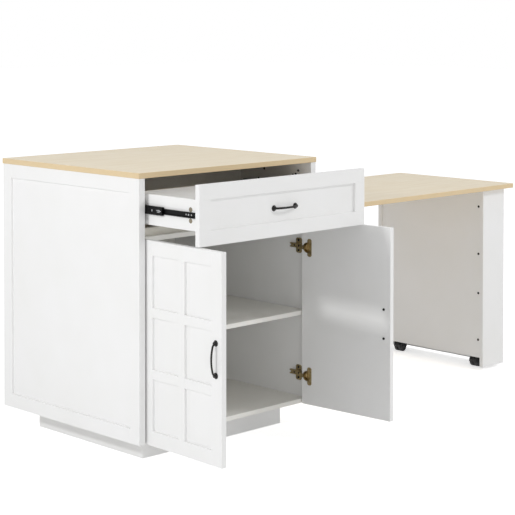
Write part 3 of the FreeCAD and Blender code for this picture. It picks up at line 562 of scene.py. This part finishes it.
def cross_head(shell: bmesh.types.BMesh, radius: float, height: float) -> None:
    """Model a pan head with a cross recess, standing on z = 0.

    The head is a grid of five squares by five, drawn out to a circle. The middle row and column, without
    their ends, are sunk.

    Args:
        shell: Mesh that gets the head.
        radius: Radius of the head.
        height: Height of its crown.
    """
    squares = 5
    crown_fall, recess_depth, recess_taper, tolerance = 0.45, 0.6, 0.8, 1.01
    bmesh.ops.create_grid(shell, x_segments=squares, y_segments=squares, size=radius)
    middle = radius / squares

    def in_cross(face: bmesh.types.BMFace) -> bool:
        """Return whether a square lies in the cross."""
        near, far = sorted((abs(face.calc_center_median().x), abs(face.calc_center_median().y)))
        return near < middle / 2 and far < 3 * middle

    cross = [face for face in shell.faces if in_cross(face)]
    for vert in shell.verts:
        reach = max(abs(vert.co.x), abs(vert.co.y))
        if reach > middle * tolerance:
            vert.co = vert.co.normalized() * reach
        vert.co.z = height * (1 - crown_fall * (vert.co.length / radius) ** 2)
    sunk = bmesh.ops.extrude_face_region(shell, geom=cross)
    bmesh.ops.delete(shell, geom=cross, context="FACES_ONLY")
    for vert in (v for v in sunk["geom"] if isinstance(v, bmesh.types.BMVert)):
        vert.co.z -= recess_depth * height
        vert.co.xy *= recess_taper
    rim = [edge for edge in shell.edges if edge.is_boundary]
    skirt = bmesh.ops.extrude_edge_only(shell, edges=rim)
    for vert in (v for v in skirt["geom"] if isinstance(v, bmesh.types.BMVert)):
        vert.co.z = 0
    bmesh.ops.holes_fill(shell, edges=[e for e in shell.edges if e.is_boundary], sides=0)


def dress(finish: Finish, *nodes: str) -> None:
    """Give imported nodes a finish.

    Args:
        finish: The finish.
        nodes: Names of the nodes.
    """
    for name in nodes:
        for place in frame["nodes"][name].material_slots:
            place.material = finish.material()


# ---------------------------------------------------------------- places on the fronts


@dataclass(frozen=True)
class DoorPlace:
    """Turns places on a closed door into places on the door as it rests, open."""

    side: Side

    @property
    def body(self) -> str:
        """Body that the door's pieces ride on."""
        return f"{self.side.word}_door"

    @property
    def swing(self) -> Matrix:
        """Work out the turn about the hinge from closed to rest.

        Returns:
            The turn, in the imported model's frame.
        """
        joint = next(j for j in frame["joints"] if j["name"] == f"{self.side.word}_door_hinge")
        pivot = Matrix.Translation(Vector(joint["pos_m"]))
        turn = Matrix.Rotation(math.radians(-joint["range_deg"][0]), 4, Vector(joint["axis"]))
        return pivot @ turn @ pivot.inverted()

    def at(
        self, inset: float, depth: float, height: float, outward: bool = True, upright: bool = True
    ) -> Matrix:
        """Return the place of a shell on the door.

        Args:
            inset: Distance from the hinge edge.
            depth: Distance behind the door's outer face.
            height: Height above the floor.
            outward: Whether the shell's Z points out of the outer face, rather than the inner one.
            upright: Whether the shell's Y points up, rather than its X.

        Returns:
            The matrix at the door's rest angle.
        """
        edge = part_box("drawer_front_board")[1].x
        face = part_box("left_side_board")[0].y
        spot = Vector((self.side.value * (edge - inset), face + depth, height))
        normal = Vector((0, -1 if outward else 1, 0))
        up = Vector((0, 0, 1)) if upright else Vector((1, 0, 0))
        return self.swing @ facing(spot, normal, up)


# ---------------------------------------------------------------- bow handles


@dataclass
class BowHandle:
    """A bow handle: two flared feet, tight arcs that rise out of them and one shallow arc between them."""

    spacing: float = 96 * MM
    rise: float = 18 * MM
    end_radius: float = 13 * MM
    bar_width: float = 7 * MM
    bar_thickness: float = 5 * MM
    foot_radius: float = 9.5 * MM
    foot_height: float = 8 * MM
    foot_rim: float = 0.9 * MM
    neck_radius: float = 5 * MM
    sunk_end: float = 0.5 * MM

    def build(self, name: str, body: str, place: Matrix, node: str) -> None:
        """Build the handle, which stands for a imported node.

        Args:
            name: Name of the piece.
            body: Body that it rides on.
            place: Matrix of the middle between the feet: X along the bar, Z out of the front.
            node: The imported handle.
        """
        piece = Piece(name, FINISHES.powder, body, "black_handle_metal")
        with piece.shell(place) as shell:
            self.bow(shell)
        for end in (-1, 1):
            with piece.shell(place @ Matrix.Translation((end * self.spacing / 2, 0, 0))) as shell:
                turned(shell, self.foot_profile(), steps=32)
        handle = piece.finished(crease=50)
        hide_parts(node)

    def foot_profile(self) -> list[tuple[float, float]]:
        """Draw the foot's outline: a rim, a hollow flare and the neck.

        Returns:
            Radius and height of each corner.
        """
        outline = [(0, 0), (self.foot_radius, 0), (self.foot_radius, self.foot_rim)]
        flare = self.foot_radius - self.neck_radius
        climb = self.foot_height - self.foot_rim
        steps = 6
        for i in range(1, steps + 1):
            turn = i / steps * math.pi / 2
            radius = self.foot_radius - flare * math.sin(turn)
            outline.append((radius, self.foot_rim + climb * (1 - math.cos(turn))))
        return [*outline, (0, self.foot_height)]

    def bow(self, shell: bmesh.types.BMesh) -> None:
        """Sweep the bar's section along the end arc, the shallow arc and the other end arc.

        Args:
            shell: Mesh that gets the bow.
        """
        half = self.spacing / 2
        reach = half - self.end_radius
        shallow = (reach**2 + self.rise**2 - self.end_radius**2) / (2 * (self.rise - self.end_radius))
        centre = self.rise - shallow
        lean = math.atan2(-centre, reach)
        section = bmesh.ops.create_circle(shell, cap_ends=False, radius=1.0, segments=16)["verts"]
        for vert in section:
            across, along = vert.co.x, vert.co.y
            vert.co = (half + across * self.bar_thickness / 2, along * self.bar_width / 2, self.sunk_end)
        geometry = section + list({edge for vert in section for edge in vert.link_edges})
        arcs = ((reach, 0.0, lean, 8), (0.0, centre, math.pi - 2 * lean, 24), (-reach, 0.0, lean, 8))
        for x, z, angle, steps in arcs:
            swept = bmesh.ops.spin(
                shell, geom=geometry, cent=(x, 0, z), axis=(0, -1, 0), dvec=(0, 0, 0), angle=angle,
                steps=steps, use_merge=False, use_duplicate=False,
            )
            geometry = [g for g in swept["geom_last"] if not isinstance(g, bmesh.types.BMFace)]
        bmesh.ops.holes_fill(shell, edges=[e for e in shell.edges if e.is_boundary], sides=0)


# ---------------------------------------------------------------- screws and small fittings


@dataclass
class Screws:
    """Cross-head screws of one kind: a head in one piece, without its hidden shank."""

    radius: float
    height: float
    finish: Finish = field(default_factory=lambda: FINISHES.nickel)
    slot: str = "dark_hinge_steel"

    def build(self, name: str, body: str, places: list[Matrix]) -> bpy.types.Object:
        """Build the heads.

        Args:
            name: Name of the piece.
            body: Body that it rides on.
            places: Matrix of each head's seat, with Z out of the surface.

        Returns:
            The piece.
        """
        piece = Piece(name, self.finish, body, self.slot)
        for place in places:
            with piece.shell(place) as shell:
                cross_head(shell, self.radius, self.height)
        return piece.finished(crease=30)


@dataclass
class CamCovers:
    """Round caps over the cam fittings: a thin disc with a bevelled rim and a shallow round dish."""

    radius: float
    finish: Finish
    slot: str
    height: float = 0.5 * MM
    rim: float = 0.25 * MM
    dish_mouth: float = 0.62
    dish_floor: float = 0.55
    floor_height: float = 0.4

    def build(self, name: str, body: str, places: list[Matrix]) -> None:
        """Build the caps.

        Args:
            name: Name of the piece.
            body: Body that it rides on.
            places: Matrix of each cap's seat, with Z out of the surface.
        """
        piece = Piece(name, self.finish, body, self.slot)
        floor = self.floor_height * self.height
        profile = [
            (0, 0), (self.radius, 0), (self.radius, self.height - self.rim),
            (self.radius - self.rim, self.height), (self.dish_mouth * self.radius, self.height),
            (self.dish_floor * self.radius, floor), (0, floor),
        ]
        for place in places:
            with piece.shell(place) as shell:
                turned(shell, profile)
        piece.finished()


# ---------------------------------------------------------------- sub-assemblies


@dataclass
class Cabinet:
    """The carcass, its worktop and its plinth, with the fittings that show inside."""

    cam_radius: float = 4.5 * MM
    cam_places: tuple[tuple[float, float], ...] = (
        (-0.1305, 0.8665), (-0.2955, 0.870), (-0.1025, 0.830), (-0.2695, 0.853), (-0.2835, 0.857),
    )

    def build(self) -> None:
        """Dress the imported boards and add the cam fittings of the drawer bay."""
        top = FINISHES.top("pale_lacquered_wood_worktop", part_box("worktop")[1].z, 26 * MM)
        dress(top, "worktop")
        dress(
            FINISHES.paint, "left_side_board", "left_side_frame", "right_side_board", "right_side_frame",
            "plinth_front", "plinth_rear", "plinth_sides", "plinth_stretcher",
        )
        # The interior boards' warmer white is painted shade.
        dress(FINISHES.melamine, "bottom_panel", "divider", "middle_shelf", "back_panel", "drawer_bay_back")
        dress(FINISHES.poplar, "table_guide_rails", "table_guide_lips")
        dress(FINISHES.zinc, "shelf_pins")
        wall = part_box("right_side_board")[0].x
        into_bay = Vector((-1, 0, 0))
        # The cam fittings' near black is painted shade of their holes.
        CamCovers(self.cam_radius, FINISHES.recess, "dark_hinge_steel").build(
            "drawer_bay_cam_fittings", Body.CABINET.value,
            [facing(Vector((wall, y, z)), into_bay) for y, z in self.cam_places],
        )


@dataclass
class DrawerSlides:
    """Ball-bearing slides: finishes, the balls of both cages, and the screws and latch that show."""

    ball_radius: float = 1.6 * MM
    ball_pitch: float = 7 * MM
    race_inner: tuple[float, float] = (11.8 * MM, 8.5 * MM)
    race_outer: tuple[float, float] = (16.3 * MM, 13.0 * MM)
    web: float = 1.2 * MM
    screw_inset: float = 36 * MM
    screw_head: tuple[float, float] = (2.9 * MM, 1.1 * MM)
    latch_inset: float = 14 * MM
    latch_height: float = 0.6 * MM
    eye_radius: float = 4.2 * MM
    latch_edge: float = 0.15 * MM
    # Start, end, width and rise of the spring tongue and the two prongs, from the eye.
    latch_strips: tuple[tuple[float, float, float, float], ...] = (
        (-9 * MM, -4 * MM, 2 * MM, 0.0),
        (5 * MM, 12 * MM, 2 * MM, 2.2 * MM),
        (5 * MM, 9 * MM, 2 * MM, -3 * MM),
    )

    def build(self) -> None:
        """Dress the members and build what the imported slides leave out."""
        for side in Side:
            for member in ("cabinet", "middle", "drawer"):
                dress(FINISHES.slide, f"{side.word}_slide_{member}_member")
        dress(FINISHES.zinc, "slide_outer_ball_cages", "slide_inner_ball_cages")
        self.balls("slide_outer_balls", Body.OUTER_CAGES, "slide_outer_ball_cages", self.race_outer)
        self.balls("slide_inner_balls", Body.INNER_CAGES, "slide_inner_ball_cages", self.race_inner)
        self.screws()
        self.latches()

    def balls(self, name: str, body: Body, cage: str, races: tuple[float, float]) -> None:
        """Build the balls of a pair of cages.

        Args:
            name: Name of the piece.
            body: Body of the cages.
            cage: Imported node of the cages, which gives where they are.
            races: Half heights of the two faces that the balls roll on.
        """
        low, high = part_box(cage)
        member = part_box("left_slide_cabinet_member")
        middle = (member[0].z + member[1].z) / 2
        piece = Piece(name, FINISHES.zinc, body.value, "bright_steel")
        row = sum(races) / 2
        count = int((high.y - low.y) / self.ball_pitch)
        start = (low.y + high.y - (count - 1) * self.ball_pitch) / 2
        for side in Side:
            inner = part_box(f"{side.word}_slide_cabinet_member")
            x = (inner[0].x + inner[1].x) / 2
            for height in (middle - row, middle + row):
                for i in range(count):
                    spot = Vector((x, start + i * self.ball_pitch, height))
                    with piece.shell(Matrix.Translation(spot)) as shell:
                        bmesh.ops.create_icosphere(shell, subdivisions=2, radius=self.ball_radius)
        piece.finished(crease=80)

    def screws(self) -> None:
        """Build the screw that holds each drawer member, seen between its two holes."""
        places = []
        for side in Side:
            low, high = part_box(f"{side.word}_slide_drawer_member")
            inner = high.x if side is Side.LEFT else low.x
            spot = Vector((inner + side.value * self.web, low.y + self.screw_inset, (low.z + high.z) / 2))
            places.append(facing(spot, Vector((side.value, 0, 0))))
        heads = Screws(*self.screw_head, FINISHES.zinc, "bright_steel")
        heads.build("slide_screws", Body.DRAWER.value, places)

    def latches(self) -> None:
        """Build the release on each middle member: an eye, its spring tongue and two prongs."""
        piece = Piece("slide_latches", FINISHES.zinc, Body.MIDDLES.value, "bright_steel")
        hole = self.eye_radius / 2
        ring = [
            (hole, 0), (self.eye_radius, 0), (self.eye_radius, self.latch_height), (hole, self.latch_height),
            (hole, 0),
        ]
        for side in Side:
            low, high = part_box(f"{side.word}_slide_middle_member")
            face = low.x if side is Side.LEFT else high.x
            middle = (low.z + high.z) / 2
            outward = Vector((side.value, 0, 0))
            eye = Vector((face, low.y + self.latch_inset, middle))
            with piece.shell(facing(eye, outward)) as shell:
                turned(shell, ring)
            for start, end, width, rise in self.latch_strips:
                foot = Vector((face, low.y + self.latch_inset + start, middle + rise - width / 2))
                top = foot + Vector((side.value * self.latch_height, end - start, width))
                corners = [Vector(map(pick, zip(foot, top))) for pick in (min, max)]
                with piece.shell(Matrix.Identity(4)) as shell:
                    boxed(shell, *corners, self.latch_edge)
        piece.finished()


@dataclass
class Drawer:
    """The drawer: its finishes, its handle and the cam covers on its sides."""

    cover_radius: float = 7.5 * MM
    cover_depth: float = -0.5505
    cover_heights: tuple[float, float] = (0.7875, 0.8215)

    def build(self) -> None:
        """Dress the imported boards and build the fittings."""
        dress(
            FINISHES.paint, "drawer_front_board", "drawer_front_frame", "drawer_left_side",
            "drawer_right_side", "drawer_back", "drawer_bottom",
        )
        dress(FINISHES.powder, "drawer_handle_screws")
        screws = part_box("drawer_handle_screws")
        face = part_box("drawer_front_board")[0].y
        middle = Vector((0, face, (screws[0].z + screws[1].z) / 2))
        handle = facing(middle, Vector((0, -1, 0)))
        BowHandle().build("drawer_bow_handle", Body.DRAWER.value, handle, "drawer_handle")
        places = []
        for side in Side:
            low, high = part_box(f"drawer_{side.word}_side")
            outer = low.x if side is Side.LEFT else high.x
            for height in self.cover_heights:
                places.append(facing(Vector((outer, self.cover_depth, height)), Vector((side.value, 0, 0))))
        CamCovers(self.cover_radius, FINISHES.cover, "white_board").build(
            "drawer_cam_covers", Body.DRAWER.value, places
        )


@dataclass
class Door:
    """A door: its finishes, its handle, and the screws in its hinge cups."""

    side: Side
    handle_inset: float = 344.25 * MM
    thickness: float = 18 * MM
    cup_inset: float = 22.5 * MM
    wing_screw_inset: float = 10 * MM
    wing_screw_rise: float = 24 * MM
    flange: float = 1.2 * MM
    wing_screw_head: tuple[float, float] = (3.6 * MM, 1.3 * MM)

    def build(self) -> None:
        """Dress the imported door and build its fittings."""
        word = self.side.word
        dress(FINISHES.paint, f"{word}_door_board", f"{word}_door_frame")
        dress(FINISHES.nickel, f"{word}_door_hinge_cups")
        dress(FINISHES.powder, f"{word}_door_handle_screws")
        place = DoorPlace(self.side)
        low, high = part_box(f"{word}_door_handle_screws")
        handle = place.at(self.handle_inset, 0, (low.z + high.z) / 2, upright=False)
        BowHandle().build(f"{word}_door_bow_handle", place.body, handle, f"{word}_door_handle")
        seats = []
        for height in hinge_heights():
            for rise in (-self.wing_screw_rise, self.wing_screw_rise):
                seats.append(
                    place.at(
                        self.cup_inset + self.wing_screw_inset, self.thickness + self.flange, height + rise,
                        outward=False,
                    )
                )
        Screws(*self.wing_screw_head).build(f"{word}_hinge_cup_screws", place.body, seats)


def hinge_heights() -> tuple[float, float]:
    """Work out the hinges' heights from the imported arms.

    Returns:
        Height of the lower and of the upper hinge.
    """
    arm_half_width = 7.5 * MM
    low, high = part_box("left_hinge_arms")
    return low.z + arm_half_width, high.z - arm_half_width


@dataclass
class HingeArms:
    """The fixed halves of the hinges: finishes, the plate screws and the adjusting screws."""

    plate_depth: float = 55 * MM
    plate_rise: float = 17.5 * MM
    plate_thickness: float = 2.4 * MM
    web_height: float = 10.7 * MM
    adjusters: tuple[float, float] = (47 * MM, 68 * MM)
    plate_screw_head: tuple[float, float] = (3.6 * MM, 1.3 * MM)
    adjuster_head: tuple[float, float] = (3.2 * MM, 0.9 * MM)

    def build(self) -> None:
        """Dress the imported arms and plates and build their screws."""
        dress(FINISHES.nickel, "left_hinge_arms", "right_hinge_arms", "hinge_mounting_plates")
        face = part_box("left_side_board")[0].y
        plates, arms = [], []
        for side in Side:
            low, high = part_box(f"{side.word}_side_board")
            wall = high.x if side is Side.LEFT else low.x
            inward = Vector((-side.value, 0, 0))
            for height in hinge_heights():
                for rise in (-self.plate_rise, self.plate_rise):
                    seat = Vector((wall, face + self.plate_depth, height + rise))
                    plates.append(facing(seat + inward * self.plate_thickness, inward))
                for depth in self.adjusters:
                    seat = Vector((wall, face + depth, height))
                    arms.append(facing(seat + inward * self.web_height, inward))
        body = Body.CABINET.value
        # The plate and adjusting screws' near black is painted shade of their recesses.
        Screws(*self.plate_screw_head, FINISHES.recess).build("hinge_plate_screws", body, plates)
        Screws(*self.adjuster_head, FINISHES.recess).build("hinge_adjusting_screws", body, arms)


@dataclass
class Table:
    """The pull-out table and its leg box: finishes and the cam fittings on the leg's inner panel.

    The plates that carry the casters are screwed to the leg box and belong to it.
    """

    cam_radius: float = 5 * MM
    cam_depth: float = -0.2525
    cam_heights: tuple[float, ...] = (0.119, 0.305, 0.461, 0.649)

    def build(self) -> None:
        """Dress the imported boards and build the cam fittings."""
        top = FINISHES.top("pale_lacquered_wood_table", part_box("table_top")[1].z, 22 * MM)
        dress(top, "table_top")
        dress(
            FINISHES.paint, "leg_front_board", "leg_rear_board", "leg_inner_panel", "leg_outer_panel",
            "leg_bottom_board",
        )
        # The cleats' warmer white is painted shade.
        dress(FINISHES.melamine, "leg_top_cleats")
        dress(FINISHES.poplar, "table_stop_blocks")
        dress(FINISHES.slide, "caster_mounting_plates")
        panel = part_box("leg_inner_panel")[0].x
        places = [
            facing(Vector((panel, self.cam_depth, height)), Vector((-1, 0, 0))) for height in self.cam_heights
        ]
        # The cam fittings' near black is painted shade of their holes.
        CamCovers(self.cam_radius, FINISHES.recess, "dark_hinge_steel").build(
            "leg_cam_fittings", Body.TABLE.value, places
        )


@dataclass
class Caster:
    """A twin-wheel caster: rounded wheels with dished faces, and its hood."""

    word: str
    wheel_width: float = 14 * MM
    web: float = 5 * MM
    side_gap: float = 0.6 * MM
    dish_radius: float = 13.5 * MM
    dish_depth: float = 3 * MM
    hub_radius: float = 5.5 * MM
    shoulder: float = 2.4 * MM
    tread_edge: float = 0.6 * MM
    axle_radius: float = 3 * MM
    dish_rise: float = 0.8
    hub_drop: tuple[float, float] = (0.4 * MM, 0.2 * MM)

    def build(self) -> None:
        """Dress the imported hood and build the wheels."""
        dress(FINISHES.nylon, f"{self.word}_caster_housing")
        low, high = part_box(f"{self.word}_caster_wheels")
        radius = (high.z - low.z) / 2
        centre = (low + high) / 2
        name, body = f"{self.word}_twin_wheels", f"{self.word}_wheels"
        piece = Piece(name, FINISHES.nylon, body, "black_caster_plastic")
        inner = self.web / 2 + self.side_gap
        for hand in (-1, 1):
            seat = centre + Vector((0, hand * inner, 0))
            with piece.shell(facing(seat, Vector((0, hand, 0)))) as shell:
                turned(shell, self.wheel_profile(radius), steps=40)
        with piece.shell(facing(centre - Vector((0, inner, 0)), Vector((0, 1, 0)))) as shell:
            axle = [(0, 0), (self.axle_radius, 0), (self.axle_radius, 2 * inner), (0, 2 * inner)]
            turned(shell, axle, steps=16)
        wheels = piece.finished(crease=40)
        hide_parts(f"{self.word}_caster_wheels")

    def wheel_profile(self, radius: float) -> list[tuple[float, float]]:
        """Draw a wheel's outline from its inner face to its hub, with a rounded shoulder and a dish.

        Args:
            radius: Radius of the tread.

        Returns:
            Radius and height of each corner.
        """
        outline = [(0, 0), (radius - self.tread_edge, 0), (radius, self.tread_edge)]
        steps = 4
        for i in range(steps + 1):
            angle = i / steps * math.pi / 2
            outline.append(
                (
                    radius - self.shoulder * (1 - math.cos(angle)),
                    self.wheel_width - self.shoulder * (1 - math.sin(angle)),
                )
            )
        outline += [
            (self.dish_radius, self.wheel_width),
            (self.dish_radius - self.tread_edge, self.wheel_width - self.dish_depth),
            (self.hub_radius + self.tread_edge, self.wheel_width - self.dish_depth * self.dish_rise),
            (self.hub_radius, self.wheel_width - self.hub_drop[0]),
            (0, self.wheel_width - self.hub_drop[1]),
        ]
        return outline


# ---------------------------------------------------------------- studio


@dataclass(frozen=True)
class PhotoCamera:
    """The photograph's camera, whose lens is shifted down to keep upright edges upright."""

    place: tuple[float, float, float] = (-3.4866, -3.9749, 1.4011)
    yaw: float = 44.1561
    pitch: float = 1.6107
    focal_px: float = 1548.22
    centre_px: tuple[float, float] = (238.36, 60.12)
    frame_px: float = 515.0
    sensor: float = 36.0

    def build(self) -> None:
        """Create the camera and make it the scene's."""
        data = bpy.data.cameras.new("photo_camera")
        data.sensor_width = self.sensor
        data.lens = self.focal_px / self.frame_px * self.sensor
        data.shift_x = 0.5 - self.centre_px[0] / self.frame_px
        data.shift_y = self.centre_px[1] / self.frame_px - 0.5
        camera = bpy.data.objects.new("photo_camera", data)
        camera.location = self.place
        camera.rotation_euler = (math.radians(90 - self.pitch), 0, math.radians(-self.yaw))
        bpy.context.scene.collection.objects.link(camera)
        bpy.context.scene.camera = camera


@dataclass(frozen=True)
class SoftBox:
    """A square studio lamp that looks at a point."""

    name: str
    place: tuple[float, float, float]
    aim: tuple[float, float, float]
    size: float
    power: float

    def build(self) -> None:
        """Create the lamp."""
        data = bpy.data.lights.new(self.name, "AREA")
        data.size = self.size
        data.energy = self.power
        lamp = bpy.data.objects.new(self.name, data)
        lamp.location = self.place
        lamp.rotation_euler = (Vector(self.aim) - Vector(self.place)).to_track_quat("-Z", "Y").to_euler()
        bpy.context.scene.collection.objects.link(lamp)


@dataclass(frozen=True)
class Studio:
    """A white studio: a pale floor, an even sky and four soft boxes.

    The left one shines between the left door and the drawer box and leaves a bright patch on the right door.
    """

    sky: float = 0.54
    floor_size: float = 60.0
    floor_colour: str = "FAFAFA"
    floor_glow: float = 0.6
    boxes: tuple[SoftBox, ...] = (
        SoftBox("left_soft_box", (-3.3, -0.1, 2.06), (-0.2, -0.3, 0.5), 0.2, 34.0),
        SoftBox("front_soft_box", (2.5, -3.55, 4.0), (0.2, -0.4, 0.5), 0.7, 61.0),
        SoftBox("low_soft_box", (1.0, -5.6, 0.9), (0.1, -0.2, 0.4), 2.4, 5.0),
        SoftBox("fill_soft_box", (-3.4, -5.2, 1.2), (0.2, -0.2, 0.4), 2.4, 22.0),
    )

    def build(self) -> None:
        """Create the floor, the world and the lamps."""
        self.floor()
        self.world()
        for box in self.boxes:
            box.build()
        bpy.context.scene.view_settings.view_transform = "Standard"

    def seen(self, tree: Tree) -> Socket:
        """Mark the rays that show the backdrop: to the camera, in metal and through glass.

        Args:
            tree: Node tree of the floor or of the world.

        Returns:
            1 for such a ray, and 0 for any other.
        """
        path = add_node(tree, "ShaderNodeLightPath").outputs
        rays = path["Is Camera Ray"]
        for kind in ("Is Glossy Ray", "Is Transmission Ray"):
            either = add_node(tree, "ShaderNodeMath", {0: rays, 1: path[kind]}, operation="MAXIMUM")
            rays = either.outputs["Value"]
        return rays

    def floor(self) -> None:
        """Create the floor, which takes the object's shadow on a white that glows a little."""
        shape = bmesh.new()
        bmesh.ops.create_grid(shape, x_segments=1, y_segments=1, size=self.floor_size / 2)
        data = bpy.data.meshes.new("studio_floor")
        shape.to_mesh(data)
        shape.free()
        material = bpy.data.materials.new("white_studio_floor")
        material.use_nodes = True
        tree = material.node_tree
        tree.nodes.clear()
        matt = add_node(tree, "ShaderNodeBsdfDiffuse", {"Color": linear(self.floor_colour)})
        strength = add_node(
            tree, "ShaderNodeMath", {0: self.seen(tree), 1: self.floor_glow}, operation="MULTIPLY"
        )
        glow = add_node(tree, "ShaderNodeEmission", {"Strength": strength.outputs["Value"]})
        both = add_node(tree, "ShaderNodeAddShader", {0: matt.outputs["BSDF"], 1: glow.outputs["Emission"]})
        add_node(tree, "ShaderNodeOutputMaterial", {"Surface": both.outputs["Shader"]})
        data.materials.append(material)
        floor = bpy.data.objects.new("studio_floor", data)
        bpy.context.scene.collection.objects.link(floor)

    def world(self) -> None:
        """Create the sky: an even light that the camera sees as white."""
        world = bpy.data.worlds.new("white_studio")
        world.use_nodes = True
        tree = world.node_tree
        tree.nodes.clear()
        strength = add_node(
            tree, "ShaderNodeMapRange", {"Value": self.seen(tree), "To Min": self.sky, "To Max": 1.0}
        )
        sky = add_node(
            tree, "ShaderNodeBackground", {"Color": linear("FFFFFF"), "Strength": strength.outputs["Result"]}
        )
        add_node(tree, "ShaderNodeOutputWorld", {"Surface": sky.outputs["Background"]})
        bpy.context.scene.world = world


# ---------------------------------------------------------------- main


def main() -> None:
    """Build the studio and every sub-assembly in order."""
    logging.basicConfig(level=logging.INFO, format="%(message)s")
    PhotoCamera().build()
    Studio().build()
    for part in (
        Cabinet(), DrawerSlides(), HingeArms(), Drawer(), Door(Side.LEFT), Door(Side.RIGHT), Table(),
        Caster("front"), Caster("rear"),
    ):
        part.build()
        log.info("%s is built", type(part).__name__)


if __name__ == "__main__":
    main()
